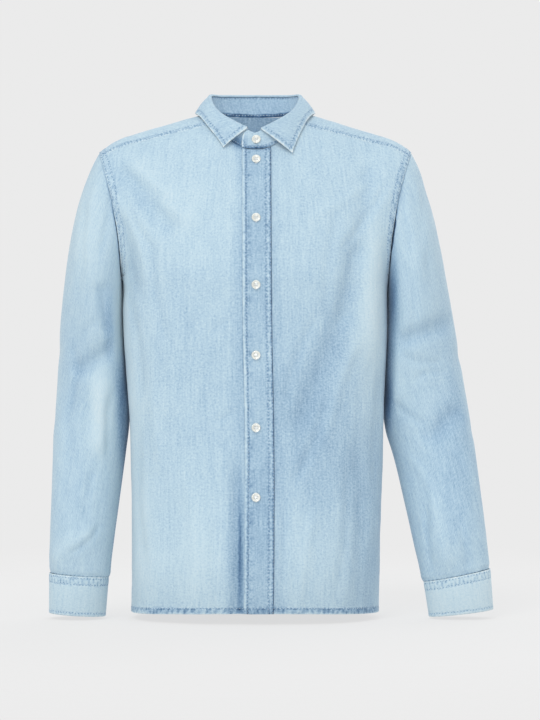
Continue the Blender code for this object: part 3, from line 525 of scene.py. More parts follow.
def sleeve_grid(side):
    """The +X form of a sleeve: rings from the armhole down to the cuff, the first on the armhole."""
    size, cuff = SLEEVES[side], CUFFS[side]
    angles, share = armhole_angles(), SLEEVE_V
    outer_z = ridge(SHOULDER_X) + share * (cuff["outer_z"][0] + 2 * GAP - ridge(SHOULDER_X))
    inner_z = ARMPIT_Z + share * (cuff["inner_z"][0] + 2 * GAP - ARMPIT_Z)
    outer = -spline(-size["z"], -size["outer"], -outer_z)
    inner = -spline(-size["z"], -size["inner"], -inner_z)
    inner -= np.interp(-inner_z, -SLEEVE_CLOSER["z"], SLEEVE_CLOSER["by"])
    middle_z = (outer_z + inner_z) / 2
    half_depth = spline(-size["z"], size["half_depth"], -middle_z)
    y = spline(-size["z"], size["y"], -middle_z)
    gather = smooth((share - GATHER_FROM) / (1 - GATHER_FROM))
    half_width = (outer - inner) / 2
    half_width += gather * (SLEEVE_FULLNESS * (cuff["outer"] - cuff["inner"])[0] / 2 - half_width)
    half_depth += gather * (SLEEVE_FULLNESS * cuff["half_depth"][0] - half_depth)
    y += gather * (cuff["y"][0] - y)
    tuck = smooth((share - TUCK_FROM) / (1 - TUCK_FROM))
    half_width += tuck * ((cuff["outer"] - cuff["inner"])[0] / 2 - TUCK_DEPTH - half_width)
    half_depth += tuck * (cuff["half_depth"][0] - TUCK_DEPTH - half_depth)
    scoop = ARMHOLE_SCOOP * (1 - smooth(share / SCOOP_FADE))
    outer, inner, half_width, half_depth, y, middle_z, scoop, outer_z, inner_z = (
        column[:, None]
        for column in (outer, inner, half_width, half_depth, y, middle_z, scoop, outer_z, inner_z)
    )
    rings = np.stack([
        (outer + inner) / 2 + half_width * np.cos(angles) - scoop * np.sin(angles) ** 2,
        y - half_depth * np.sin(angles),
        middle_z + (outer_z - inner_z) / 2 * np.cos(angles),
    ], axis=-1)
    rings[0] = armhole(angles)
    return rings


def armhole_angles():
    """The armhole angles of the points that the panels have on the seam, once round and closed."""
    yoke = -BACK_SEAM_ANGLE + (FRONT_SEAM_ANGLE + BACK_SEAM_ANGLE) * (1 - YOKE_ARM[::-1])
    front = math.pi + (FRONT_SEAM_ANGLE - math.pi) * UP[::-1]
    back = -(math.pi + (BACK_SEAM_ANGLE - math.pi) * UP)
    return np.concatenate([yoke, front[1:], back[1:]])


def cuff_grid(side):
    """The +X form of a cuff: a band whose end laps over its start, at the back of the wrist."""
    size = CUFFS[side]
    total = 2 * math.pi + CUFF_OVERLAP
    turns = total * CUFF_TURNS
    angles = CUFF_END_ANGLE - CUFF_OVERLAP + turns
    lift = (DOUBLE_CLOTH + GAP) * smooth((turns - 2 * math.pi + CUFF_LAP) / CUFF_LAP)
    rows = []
    for v in CUFF_V:
        now = {name: (1 - v) * column[0] + v * column[1] for name, column in size.items()}
        half_width = (now["outer"] - now["inner"]) / 2
        half_z = (now["outer_z"] - now["inner_z"]) / 2
        rows.append(np.stack([
            now["inner"] + half_width + (half_width + lift) * np.cos(angles),
            now["y"] - (now["half_depth"] + lift) * np.sin(angles),
            now["outer_z"] - half_z + half_z * np.cos(angles),
        ], axis=-1))
    return np.stack(rows)


def stand_top(angle):
    """The upper edge of the stand: the neck seam drawn in a little, at its own height."""
    base = neck_point(angle)
    lean = np.where(np.cos(angle) > 0, STAND_LEAN_FRONT, STAND_LEAN_BACK)
    degrees = np.degrees(np.arccos(np.cos(angle))) * MM
    z = spline(STAND_TOP_Z["angle"], STAND_TOP_Z["z"], degrees)
    return np.stack([base[..., 0], base[..., 1] * lean, z], axis=-1)


def stand_grid():
    """The collar stand: a band round the neck whose +X end laps over the other one."""
    lines = np.arcsin(STRIP_LINES / NECK_HALF_WIDTH)
    last = 2 * math.pi + lines[UNDERLAP_LINE]
    angles = lines[0] + (last - lines[0]) * STAND_TURNS
    base, top = neck_point(angles), stand_top(angles)
    base[:, 2] += GAP
    out = unit(np.stack([np.sin(angles), -np.cos(angles), 0 * angles], axis=-1))
    lift = (DOUBLE_CLOTH + GAP) * (1 - smooth((angles - lines[-1]) / FRONT_LAP))
    from_end = NECK_HALF_WIDTH * np.minimum(angles - angles[0], angles[-1] - angles)
    corner = 1 - np.clip(from_end / STAND_CORNER, 0, 1)
    height = 1 - STAND_CORNER_DROP * (1 - np.sqrt(1 - corner**2))
    top = base + (top - base) * height[:, None]
    return np.stack([base + v * (top - base) + out * lift[:, None] for v in STAND_V])


def leaf_low_edge(turn):
    """The collar's outer edge, from the +X tip (0) over the shoulders to the -X tip (1)."""
    back_tilt = z_to_tilt(0, LEAF_BACK_Z, 1)
    rows = [(0.5, 0, back_tilt)]
    for side, far in ((1, 0), (-1, 1)):
        tip_x, tip_z = LEAF_TIP[side]
        tip_tilt = z_to_tilt(tip_x, tip_z, -1)
        rows.append((far, side * tip_x, tip_tilt))
        for turned, x, height in LEAF_EDGE:
            tilt = height * (tip_tilt if height > 0 else -back_tilt)
            rows.append((abs(far - turned), side * x * MM, tilt))
    turns, x, tilt = np.array(sorted(rows)).T
    points = from_tilt(spline(turns, x, turn), spline(turns, tilt, turn))
    out = unit(points - np.array([0, 0, LEAF_LOW_CENTRE_Z]))
    return points + out * (LEAF_CLEARANCE + DOUBLE_CLOTH)


def leaf_grid():
    """The collar itself: it rises from the stand, folds over and falls to its outer edge."""
    start = math.asin(LEAF_START_X[1] / NECK_HALF_WIDTH)
    end = 2 * math.pi - math.asin(LEAF_START_X[-1] / NECK_HALF_WIDTH)
    angles = start + LEAF_TURNS * (end - start)
    stand, low = stand_top(angles), leaf_low_edge(LEAF_TURNS)
    out = unit(np.stack([np.sin(angles), -np.cos(angles), 0 * angles], axis=-1))
    up = np.array([0, 0, 1.0])
    layers = (DOUBLE_CLOTH + GAP) * (1 - smooth((angles - start) / FRONT_LAP))
    centre = stand + out * (COLLAR_FOLD_RADIUS - DOUBLE_CLOTH + layers)[:, None] + GAP * up
    rows = []
    for degrees in np.linspace(FOLD_FROM, FOLD_TO, FOLD_ROWS):
        across, rise = math.cos(math.radians(degrees)), math.sin(math.radians(degrees))
        rows.append(centre + COLLAR_FOLD_RADIUS * (across * out + rise * up))
    bend = rows[-1]
    for v in LEAF_V[1:]:
        bulge = LEAF_BULGE * 4 * v * (1 - v)
        rows.append(bend + v * (low - bend) + bulge * (out + up / 2))
    return np.stack(rows)


def fold_depth(points, tables):
    """How far the folds of some tables move each point outwards."""
    depth = np.zeros(points.shape[:-1])
    rows = [(face, sizes) for folds in tables for face in folds for sizes in folds[face]]
    for face, sizes in rows:
        x, z, to_x, to_z, width, height = np.array(sizes[:6]) * MM
        bow = sizes[6] * MM if len(sizes) > 6 else 0
        start, along = np.array([x, z]), np.array([to_x - x, to_z - z])
        offset = points[..., [0, 2]] - start
        share = offset @ along / (along @ along)
        across = (offset[..., 0] * along[1] - offset[..., 1] * along[0]) / np.hypot(*along)
        across = across - bow * 4 * share * (1 - share)
        taper = smooth(share / FOLD_END + 0.5) * smooth((1 - share) / FOLD_END + 0.5)
        faces_it = smooth(0.5 + face * points[..., 1] / SIDE_BLEND)
        reach = (across / width) ** 2
        profile = np.exp(-reach) if len(sizes) == 6 else (1 - 0.55 * reach) * np.exp(-0.8 * reach)
        depth += height * profile * taper * faces_it
    return depth


def summed_where_they_meet(grids, fields):
    """For each grid its field summed over all the points in the same place, and how many they are."""
    points = np.concatenate([grid.reshape(-1, 3) for grid in grids.values()])
    values = np.concatenate([fields[name].reshape(-1, 3) for name in grids])
    places = np.round(points / (0.01 * MM)).astype(np.int64)
    keys = (places[:, 0] * 1000003 + places[:, 1]) * 1000003 + places[:, 2]
    _, place = np.unique(keys, return_inverse=True)
    place = place.reshape(-1)
    counts = np.bincount(place)
    sums = np.stack([np.bincount(place, values[:, k], len(counts)) for k in range(3)], axis=1)
    ends = np.cumsum([grid[..., 0].size for grid in grids.values()])[:-1]
    split = [np.split(flat[place], ends) for flat in (sums, counts[:, None])]
    return [
        {name: part.reshape(*grid.shape[:2], -1) for (name, grid), part in zip(grids.items(), parts)}
        for parts in split
    ]


def normals_of(grids):
    """Outward normals of named grids, the same for all where they meet unless at a sharp angle."""
    own = {}
    for name, grid in grids.items():
        face = np.cross(grid[1:, 1:] - grid[:-1, :-1], grid[1:, :-1] - grid[:-1, 1:])
        own[name] = np.zeros_like(grid)
        for rows in (slice(0, -1), slice(1, None)):
            for columns in (slice(0, -1), slice(1, None)):
                own[name][rows, columns] += face
    shared, _ = summed_where_they_meet(grids, own)
    normals = {}
    for name in grids:
        alone, common = unit(own[name]), unit(shared[name])
        gentle = (alone * common).sum(axis=-1, keepdims=True) > GENTLE_TURN
        normals[name] = np.where(gentle, common, alone)
    return normals


def normals_alone(grid):
    return normals_of({"grid": grid})["grid"]


def sway(grid):
    """The lower body hangs a little to one side."""
    moved = grid.copy()
    moved[..., 0] += np.interp(grid[..., 2], TORSO["z"], TORSO["centre"])
    return moved


# ================================================================ small folds, seams, wash and painted light and shade

# Creases too small for the CAD walls. The seventh size bows the crease sideways, and a crease
# that has it also has soft shoulders beside its trough.
SMALL_FOLDS = {
    -1: (
        # x z to_x to_z width depth bow
        (-204, -96,  -150, -196, 7,  -2.2, 4),
        (-196, -122, -158, -236, 6,  1.5,  -5),
        (-184, -84,  -96,  -138, 8,  -1.8, 6),
        (-150, -190, -128, -330, 9,  -1.7, 5),
        (-186, -262, -168, -410, 8,  -2.4, -6),
        (-146, -345, -140, -505, 9,  1.6,  5),
        (-104, -240, -112, -395, 10, -1.5, -7),
        (-70,  -380, -60,  -540, 9,  -1.6, 6),
        (-172, -470, -164, -650, 8,  -2.2, 5),
        (-96,  -540, -88,  -722, 9,  1.5,  -4),
        (-60,  -600, -54,  -735, 7,  -1.9, 3),
        (-36,  -300, -64,  -322, 5,  -1.1, 2),
        (-30,  -430, -58,  -446, 5,  -1.2, -2),
        (190,  -104, 128,  -196, 7,  -2.1, -4),
        (176,  -86,  84,   -150, 8,  1.5,  -6),
        (120,  -150, 104,  -300, 9,  -1.6, 6),
        (150,  -330, 104,  -462, 9,  1.8,  7),
        (104,  -410, 56,   -530, 8,  -2.1, -5),
        (86,   -300, 44,   -420, 8,  -1.7, 6),
        (184,  -372, 176,  -540, 8,  -2.2, 5),
        (132,  -520, 120,  -690, 9,  -1.9, -5),
        (84,   -580, 62,   -730, 9,  1.6,  5),
        (40,   -560, 36,   -730, 7,  -1.7, -3),
        (178,  -610, 172,  -735, 8,  -1.8, 3),
        (36,   -196, 66,   -212, 5,  -1.1, -2),
        (34,   -402, 70,   -424, 5,  -1.2, 2),
    ),
    1: (
        (-190, -130, -120, -210, 8,  1.8,  5),
        (-150, -150, -60,  -230, 9,  -2.0, -7),
        (150,  -150, 70,   -220, 8,  1.7,  6),
        (176,  -250, 160,  -420, 9,  -2.4, 6),
        (120,  -300, 108,  -480, 9,  -1.8, -6),
        (20,   -300, 8,    -520, 10, -1.7, 6),
        (-40,  -260, -52,  -400, 9,  1.6,  -5),
        (-130, -330, -124, -520, 9,  -2.2, 6),
        (-176, -420, -166, -640, 8,  -2.1, -5),
        (-30,  -560, -24,  -735, 9,  -1.9, 4),
        (110,  -560, 120,  -735, 9,  -2.0, -4),
        (166,  -520, 160,  -720, 8,  1.7,  4),
    ),
}
SMALL_SLEEVE_FOLDS = {
    "sleeve_left": {
        -1: (
            # x z to_x to_z width depth bow
            (214, -110, 228, -196, 6, -2.2, 4),
            (232, -96,  250, -200, 7, 1.5,  -5),
            (246, -120, 262, -250, 8, -1.6, 5),
            (222, -230, 232, -320, 7, -1.9, -4),
            (212, -348, 272, -362, 7, -2.0, 5),
            (236, -386, 278, -376, 7, -1.7, -5),
            (206, -420, 250, -452, 6, -1.8, 4),
            (270, -440, 308, -520, 8, -1.8, 5),
            (226, -500, 262, -560, 7, 1.5,  -4),
            (252, -570, 258, -664, 6, -2.0, 3),
            (296, -590, 312, -664, 7, -1.7, -3),
        ),
        1: (
            (222, -120, 240, -220, 8, -2.0, 5),
            (254, -200, 270, -330, 8, 1.6,  -5),
            (226, -330, 288, -322, 7, -1.9, 5),
            (220, -416, 300, -400, 7, -2.2, -5),
            (240, -490, 300, -520, 7, 1.6,  5),
            (262, -560, 276, -656, 7, -1.9, 4),
            (310, -580, 322, -660, 7, -1.7, -4),
        ),
    },
    "sleeve_right": {
        -1: (
            # x z to_x to_z width depth bow
            (-212, -112, -226, -200, 6, -2.1, -4),
            (-230, -98,  -246, -206, 7, 1.5,  5),
            (-250, -130, -260, -262, 8, -1.6, -5),
            (-232, -300, -270, -352, 7, -2.0, 5),
            (-262, -352, -278, -452, 6, -2.0, -4),
            (-246, -380, -256, -470, 7, 1.6,  4),
            (-212, -410, -216, -500, 6, -1.9, 4),
            (-272, -460, -282, -560, 8, -1.7, -5),
            (-236, -520, -246, -590, 7, -1.5, 4),
            (-226, -600, -268, -640, 6, -1.9, -4),
            (-272, -612, -290, -664, 6, 1.6,  3),
        ),
        1: (
            (-220, -120, -238, -216, 8, -2.0, -5),
            (-252, -196, -266, -322, 8, 1.6,  5),
            (-216, -330, -276, -318, 7, -1.9, -5),
            (-212, -398, -284, -392, 7, -2.1, 5),
            (-232, -482, -280, -504, 7, 1.6,  -5),
            (-240, -560, -250, -650, 7, -1.9, -4),
            (-282, -576, -290, -656, 7, -1.6, 4),
        ),
    },
}

# Soft spots paler (+) or bluer (-), in front (-1) or behind (1): some are the wash's fading, others
# painted light and shade, such as the pale bands down the body's sides and the dark crease beside the
# lower placket
WASH_AND_SHADE = {
    -1: (
        # x z half_width half_height amount
        (-110, -150, 90,  90,  0.04),
        (110,  -140, 80,  70,  0.01),
        (172,  -280, 26,  150, 0.088),
        (-186, -480, 22,  180, 0.12),
        (-90,  -330, 80,  120, -0.02),
        (80,   -420, 90,  130, -0.07),
        (100,  -520, 60,  80,  -0.05),
        (-110, -650, 90,  80,  0.075),
        (-166, -620, 12,  100, 0.06),
        (80,   -640, 60,  80,  0.028),
        (-32,  -640, 11,  110, -0.11),
        (-206, -430, 30,  60,  0.03),
        (178,  -600, 26,  130, -0.03),
        (-264, -390, 20,  80,  -0.065),
        (-228, -430, 14,  70,  0.096),
        (-262, -590, 40,  60,  -0.025),
        (-250, -170, 24,  80,  0.07),
        (250,  -380, 30,  60,  0.02),
        (300,  -460, 44,  150, -0.085),
        (275,  -160, 30,  110, 0.012),
        (288,  -588, 28,  64,  -0.025),
    ),
    1: (
        (0,    -200, 150, 100, 0.036),
        (-60,  -420, 90,  150, -0.02),
        (90,   -560, 80,  120, 0.02),
        (270,  -400, 40,  70,  0.064),
        (-255, -400, 36,  70,  0.064),
    ),
}


# The uneven lie of the cloth between its folds: layers of noise, in mm
UNDULATION = (
    # depth, cell's width and height, seed
    (0.55, 31, 52, 1),
    (0.30, 13, 22, 2),
    (0.12, 6, 8, 3),
)
OUTER_DAMPING, OUTER_FROM = 0.6, 0.7  # folds are lower where the sleeve faces outwards
FOLD_SHADE_AND_HIGHLIGHT = 0.011  # painted highlight on a ridge and painted shade in a trough, for each mm of its depth
FOLD_SHADE_ENDS = (-5, 4)  # the depths past which that stays the same


def noise(x, y, seed):
    """Smooth noise between -1 and 1, whose cells are one unit wide: each corner is hashed."""
    i, j = np.floor(x).astype(np.int64), np.floor(y).astype(np.int64)
    across, up = smooth(x - i), smooth(y - j)

    def corner(a, b):
        n = ((i + a) * 374761393 + (j + b) * 668265263 + seed * 1442695041) & 0xFFFFFFFF
        n = ((n ^ (n >> 13)) * 1274126177) & 0xFFFFFFFF
        return ((n ^ (n >> 16)) & 0xFFFF) / 32767.5 - 1

    low = corner(0, 0) * (1 - across) + corner(1, 0) * across
    high = corner(0, 1) * (1 - across) + corner(1, 1) * across
    return low * (1 - up) + high * up


def undulation(points):
    x, y, z = (points[..., k] / MM for k in range(3))
    across = x + 0.8 * y
    return MM * sum(
        depth * noise(across / width, z / height, seed) for depth, width, height, seed in UNDULATION
    )


def spot(points, x, z, half_width, half_height):
    """1 at a place seen from the front, falling softly to 0 round it. Sizes are in mm."""
    away = ((points[..., 0] / MM - x) / half_width) ** 2
    return np.exp(-(away + ((points[..., 2] / MM - z) / half_height) ** 2))


def wash_and_shade_of(points):
    """How much paler or bluer each point is, from the wash and from painted light and shade."""
    amount = np.zeros(points.shape[:-1])
    for face, rows in WASH_AND_SHADE.items():
        faces_it = smooth(0.5 + face * points[..., 1] / SIDE_BLEND)
        for *place, strength in rows:
            amount += strength * spot(points, *place) * faces_it
    return amount


# ---------------------------------------------------------------- the pieces as grids


def cloth_grids():
    """The body's panels and the sleeves, folded, and how far the folds move each point."""
    strip = strip_grid()
    left, right = front_grid(strip[:, -1]), front_grid(strip[:, 0] * [-1, 1, 1])
    grids = {
        "front_left": np.concatenate([strip[:, UNDERLAP:-1], left], axis=1),
        "front_right": np.concatenate([mirrored(right), strip[:, 1 : UNDERLAP + 1]], axis=1),
        "back": back_grid(),
        "yoke": yoke_grid()[::-1],
        "sleeve_left": sleeve_grid(1),
        "sleeve_right": mirrored(sleeve_grid(-1)),
    }
    normals, moves = normals_of(grids), {}
    for name, grid in grids.items():
        large, small = SLEEVE_FOLDS.get(name, BODY_FOLDS), SMALL_SLEEVE_FOLDS.get(name, SMALL_FOLDS)
        depth = fold_depth(grid, (large, small)) + undulation(grid)
        if name in SLEEVE_SIDES:
            inwards = -SLEEVE_SIDES[name] * normals[name][..., 0]
            none, full = SLEEVE_INSIDE
            depth = depth * smooth((none - inwards) / (none - full))
            depth = depth * (1 - OUTER_DAMPING * smooth((-inwards - OUTER_FROM) / 0.3))
        moves[name] = normals[name] * depth[..., None]
    shared, counts = summed_where_they_meet(grids, moves)
    depths = {name: (shared[name] / counts[name] * normals[name]).sum(axis=-1) for name in grids}
    moved = {name: grid + shared[name] / counts[name] for name, grid in grids.items()}
    moved = {name: grid if name in SLEEVE_SIDES else sway(grid) for name, grid in moved.items()}
    return moved, depths


class Cloth:
    """One piece: its outer face as a grid, its normals, and what its seams do to them."""

    def __init__(self, name, grid, normals, depth, closed=False):
        self.name, self.grid, self.normals, self.closed = name, grid, normals, closed
        self.height = np.zeros(grid.shape[:2])
        # The tone holds the wash with its painted light and shade, and the folds' painted shade and
        # highlight
        self.tone = wash_and_shade_of(grid) + FOLD_SHADE_AND_HIGHLIGHT * np.clip(depth / MM, *FOLD_SHADE_ENDS)
        self.near_seam = np.zeros(grid.shape[:2])
        self.inner_lift = np.zeros(grid.shape[:2])

    def surface(self):
        return self.grid + self.normals * self.height[..., None]


# What turns a grid so that an edge becomes its first row, and what turns it back
TURNED = {
    "bottom": (lambda g: g, lambda g: g),
    "top": (lambda g: g[::-1], lambda g: g[::-1]),
    "left": (lambda g: np.swapaxes(g, 0, 1), lambda g: np.swapaxes(g, 0, 1)),
    "right": (lambda g: np.swapaxes(g, 0, 1)[::-1], lambda g: np.swapaxes(g[::-1], 0, 1)),
}


def length_along(points):
    """The length from the first row to each, along the columns."""
    steps = np.linalg.norm(np.diff(points, axis=0), axis=-1)
    return np.concatenate([np.zeros_like(steps[:1]), np.cumsum(steps, axis=0)])


def from_edge(grid, edge):
    """How far each point is from an edge, and how far along the edge, turned to start on it."""
    turned = TURNED[edge][0](grid)
    distance = length_along(turned)
    starts, steps = turned[0, :-1], np.diff(turned[0], axis=0)
    lengths = np.maximum((steps**2).sum(axis=-1), 1e-12)
    for row in np.where(distance.min(axis=1) < SEAM_REACH)[0]:
        offset = turned[row][:, None] - starts
        share = np.clip((offset * steps).sum(axis=-1) / lengths, 0, 1)
        apart = np.linalg.norm(offset - share[..., None] * steps, axis=-1)
        distance[row] = apart.min(axis=1)
    return distance, length_along(turned[0])[None]


WHOLE = (0, None)  # the part of an edge that is sewn: its first and last point, here all of them

# A seam's relief, wear and painted shade. Widths and cells are in mm.
SEAM_REACH = 45 * MM  # up to here the distance from an edge is the true one
ROPE_CELL, BROAD_CELL = (4.6, 14), (11, 22)  # the twisted ropes along a seam, and what is beyond
RUNG, RUNG_DRIFT = 6.2, 19  # the puckers across a seam are this far apart, and wander over this
BEYOND = 8  # how far past the band its puckers run out
# The tone at each line of stitches is painted shade in its groove
LINE_WIDTH, LINE_DEPTH, GROOVE_SHADE = 1.15, 0.35, 0.16
LINE_WEAR, LINE_WEAR_WIDTH = 0.8, 2.2
EDGE_WEAR, EDGE_WEAR_WIDTH, EDGE_WEAR_AND_SHADE_WIDTH = 0.4, 1.6, 1.8


def bell(distance, width):
    """1 where the distance is 0, falling to about a third at the width."""
    return np.exp(-((distance / width) ** 2))


def within_band(distance, width):
    """1 as far as the width, then falling softly to 0."""
    return smooth((width + 1 - distance) / 2)


def sew(cloth, edge, band, lines, part, proud, pucker, edge_wear_and_shade, seed):
    """Raises a stitched band along an edge: ropy, puckered and grooved, with painted shade in its
    dips and grooves, and along the edge paler wear where the amount is above 0, painted shade where
    it is below.
    """
    distance, along = from_edge(cloth.grid, edge)
    distance, along = distance / MM, along / MM
    first, last = part[0], distance.shape[1] - 1 if part[1] is None else part[1]
    start, end = along[0, first], along[0, last]
    inside = smooth((along - start) / 3 + 1) * smooth((end - along) / 3 + 1)
    within = within_band(distance, band)
    beyond = np.exp(-np.clip(distance - band, 0, None) / BEYOND) * (1 - within)
    rope = noise((along + 0.7 * distance) / ROPE_CELL[0], distance / ROPE_CELL[1], seed)
    broad = noise((along - 0.4 * distance) / BROAD_CELL[0], distance / BROAD_CELL[1], seed + 1)
    turns = along / RUNG + 0.6 * noise(along / RUNG_DRIFT, 0 * distance, seed + 2) + 0.04 * distance
    rung = smooth((np.cos(2 * math.pi * turns) - 0.1) / 0.9)
    height = within * (proud + pucker * (0.7 * rope - 0.9 * rung)) + beyond * pucker * 1.2 * broad
    # Painted shade where the puckers dip; the ropes' paler and bluer streaks are the wash's
    tone = within * (0.05 * rope - 0.55 * pucker * rung) + beyond * 0.035 * broad
    near = EDGE_WEAR * bell(distance, EDGE_WEAR_WIDTH) * (edge_wear_and_shade > 0)
    for line in lines:
        at_line = bell(distance - line, LINE_WIDTH)
        height -= LINE_DEPTH * at_line
        tone -= GROOVE_SHADE * at_line * (0.8 + 0.5 * rope)
        near = np.maximum(near, LINE_WEAR * bell(distance - line, LINE_WEAR_WIDTH))
    # Along the edge: paler wear where the amount is above 0, painted shade where it is below
    tone += bell(distance, EDGE_WEAR_AND_SHADE_WIDTH) * edge_wear_and_shade * (0.8 + 0.4 * rope)
    for field, values in (("height", height * MM), ("tone", tone)):
        setattr(cloth, field, getattr(cloth, field) + TURNED[edge][1](values * inside))
    cloth.near_seam = np.maximum(cloth.near_seam, TURNED[edge][1](near * inside))


# ---------------------------------------------------------------- meshes


def quads_of(index):
    """The four-sided faces between the points of a grid, given the points' numbers."""
    faces = [index[:-1, :-1], index[:-1, 1:], index[1:, 1:], index[1:, :-1]]
    return np.stack(faces, axis=-1).reshape(-1, 4)


def length_across(grid):
    """The length from the first column to each, along the rows."""
    return length_along(np.swapaxes(grid, 0, 1)).T


def arc_uv(grid):
    """The cloth's own coordinates, in metres: across it from its middle, and along it."""
    across = length_across(grid)
    centre = np.argmin(np.abs(grid[len(grid) // 2, :, 0]))
    return np.stack([across - across[:, centre : centre + 1], length_along(grid)], axis=-1)


def build(name, points, faces, material, uv=None, point_values=None):
    """A mesh object from arrays. uv has a row for each face corner."""
    mesh = bpy.data.meshes.new(name)
    mesh.from_pydata(points.tolist(), [], faces.tolist())
    if uv is not None:
        layer = mesh.uv_layers.new(name="cloth")
        layer.uv.foreach_set("vector", uv.reshape(-1).astype(np.float32))
    for key, values in (point_values or {}).items():
        attribute = mesh.attributes.new(key, "FLOAT", "POINT")
        attribute.data.foreach_set("value", values.reshape(-1).astype(np.float32))
    mesh.shade_smooth()
    mesh.materials.append(material)
    obj = bpy.data.objects.new(name, mesh)
    bpy.context.scene.collection.objects.link(obj)
    return obj


LAP = 0.8 * MM  # how far an edge reaches past the seam where it laps over its neighbour
RIM_INSET = 0.3  # share of its thickness by which a shell's two faces stop short of its rim


def shell(cloth, thickness, material, laps):
    """The piece as a thin closed shell: its outer face, a rounded rim and its inner face.

    Where an edge laps over its neighbour it reaches past the seam instead of stopping short.
    """
    outer = cloth.surface()
    uv = arc_uv(cloth.grid).reshape(-1, 2)
    inset = RIM_INSET * thickness
    edges = ["bottom", "top"] + ([] if cloth.closed else ["left", "right"])
    inner = outer - cloth.normals * thickness
    rim = outer.copy()
    for edge in edges:
        turned = TURNED[edge][0]
        inward = unit(turned(outer)[1] - turned(outer)[0])
        shift = np.full((len(inward), 1), GAP / 2)
        if edge in laps:
            first, last = laps[edge]
            shift[first:last] = -LAP
        turned(rim)[0] += inward * shift
        turned(outer)[0] += inward * (shift + inset)
        turned(inner)[0] += inward * (shift + inset)
    outer_low = outer.copy()
    for edge in edges:
        turned = TURNED[edge][0]
        turned(outer_low)[0] -= turned(cloth.normals)[0] * inset * 0.6
    rows, columns = outer.shape[:2]
    index = np.arange(rows * columns).reshape(rows, columns)
    wrap = index.copy()
    if cloth.closed:
        wrap[:, -1] = wrap[:, 0]
    total = rows * columns
    quads = [quads_of(wrap), quads_of(wrap)[:, ::-1] + total]
    corners = [quads_of(index), quads_of(index)[:, ::-1]]
    middle = (rim - cloth.normals * thickness / 2).reshape(-1, 3)
    loops = {
        "bottom": (wrap[0], index[0]),
        "top": (wrap[-1, ::-1], index[-1, ::-1]),
        "left": (wrap[::-1, 0], index[::-1, 0]),
        "right": (wrap[:, -1], index[:, -1]),
    }
    rim_place = {}
    for edge in edges:
        for i in loops[edge][0].tolist():
            rim_place.setdefault(i, 2 * total + len(rim_place))
    for edge in edges:
        ring, source = loops[edge]
        mid = np.array([rim_place[i] for i in ring.tolist()])
        quads.append(np.stack([ring[1:], ring[:-1], mid[:-1], mid[1:]], axis=-1))
        quads.append(np.stack([mid[1:], mid[:-1], ring[:-1] + total, ring[1:] + total], axis=-1))
        for _ in range(2):
            corners.append(np.stack([source[1:], source[:-1], source[:-1], source[1:]], axis=-1))
    on_rim = np.array(list(rim_place))
    points = np.concatenate([outer_low.reshape(-1, 3), inner.reshape(-1, 3), middle[on_rim]])
    faces = np.concatenate(quads)
    used = np.unique(faces)
    renumber = np.zeros(len(points), int)
    renumber[used] = np.arange(len(used))

    def values(outside, inside):
        parts = outside.reshape(-1), inside.reshape(-1), outside.reshape(-1)[on_rim]
        return np.concatenate(parts)[used]

    return build(
        f"{cloth.name}_cloth", points[used], renumber[faces], material,
        uv=uv[np.concatenate(corners)],
        point_values={
            "tone": values(cloth.tone, cloth.tone + cloth.inner_lift),
            "near_seam": values(cloth.near_seam, cloth.near_seam),
        },
    )


# ---------------------------------------------------------------- threads

STITCH, STITCH_GAP, THREAD = 3.1 * MM, 1.5 * MM, 0.55 * MM
THREAD_FORM = (
    # share of the length, and there the rise and the half width as shares of the thread's width
    (0, -0.35, 0.3), (0.14, 0.3, 0.5), (0.5, 0.5, 0.55), (0.86, 0.3, 0.5), (1, -0.35, 0.3),
)
HOLE_LENGTH, HOLE_END, HOLE_TURN = 13.6 * MM, 1.6 * MM, 0.085  # a buttonhole's ring of thread
HOLE_RING = (0.72, 1.12)  # its inner and outer edge, as shares of that


def line_at(cloth, edge, at, part=WHOLE):
    """Points and normals of the line at a distance from an edge, on the finished surface."""
    turn = TURNED[edge][0]
    distance, _ = from_edge(cloth.grid, edge)
    last = distance.shape[1] if part[1] is None else part[1] + 1
    columns = np.arange(part[0], last)
    low = np.clip((distance < at).sum(axis=0) - 1, 0, len(distance) - 2)[columns]
    span = distance[low + 1, columns] - distance[low, columns]
    share = ((at - distance[low, columns]) / span)[:, None]
    points, out = turn(cloth.surface()), turn(cloth.normals)
    mix = lambda field: (1 - share) * field[low, columns] + share * field[low + 1, columns]
    return mix(points), unit(mix(out))


def line_down(cloth, column, beside):
    """Points and normals of the line that runs down beside one column of a grid."""
    across, rows = length_across(cloth.grid), np.arange(len(cloth.grid))
    columns = np.arange(across.shape[1])
    at = np.array([np.interp(row[column] + beside, row, columns) for row in across])
    low = np.minimum(at.astype(int), columns[-2])
    share = (at - low)[:, None]
    mix = lambda field: (1 - share) * field[rows, low] + share * field[rows, low + 1]
    return mix(cloth.surface()), unit(mix(cloth.normals))


def stitched(points, out, first=0.5 * STITCH_GAP, length=STITCH):
    """Where each thread of a line of stitches starts and ends, and its normal."""
    along = length_along(points)
    starts = np.arange(first, along[-1] - length, STITCH + STITCH_GAP)
    at = lambda where, field: np.stack([np.interp(where, along, field[:, k]) for k in range(3)], 1)
    return at(starts, points), at(starts + length, points), unit(at(starts + length / 2, out))


def between(points, out):
    """Where a line's thread pulls the cloth in, between each stitch and the next."""
    return stitched(points, out, first=0.4 * STITCH_GAP + STITCH, length=STITCH_GAP * 1.2)


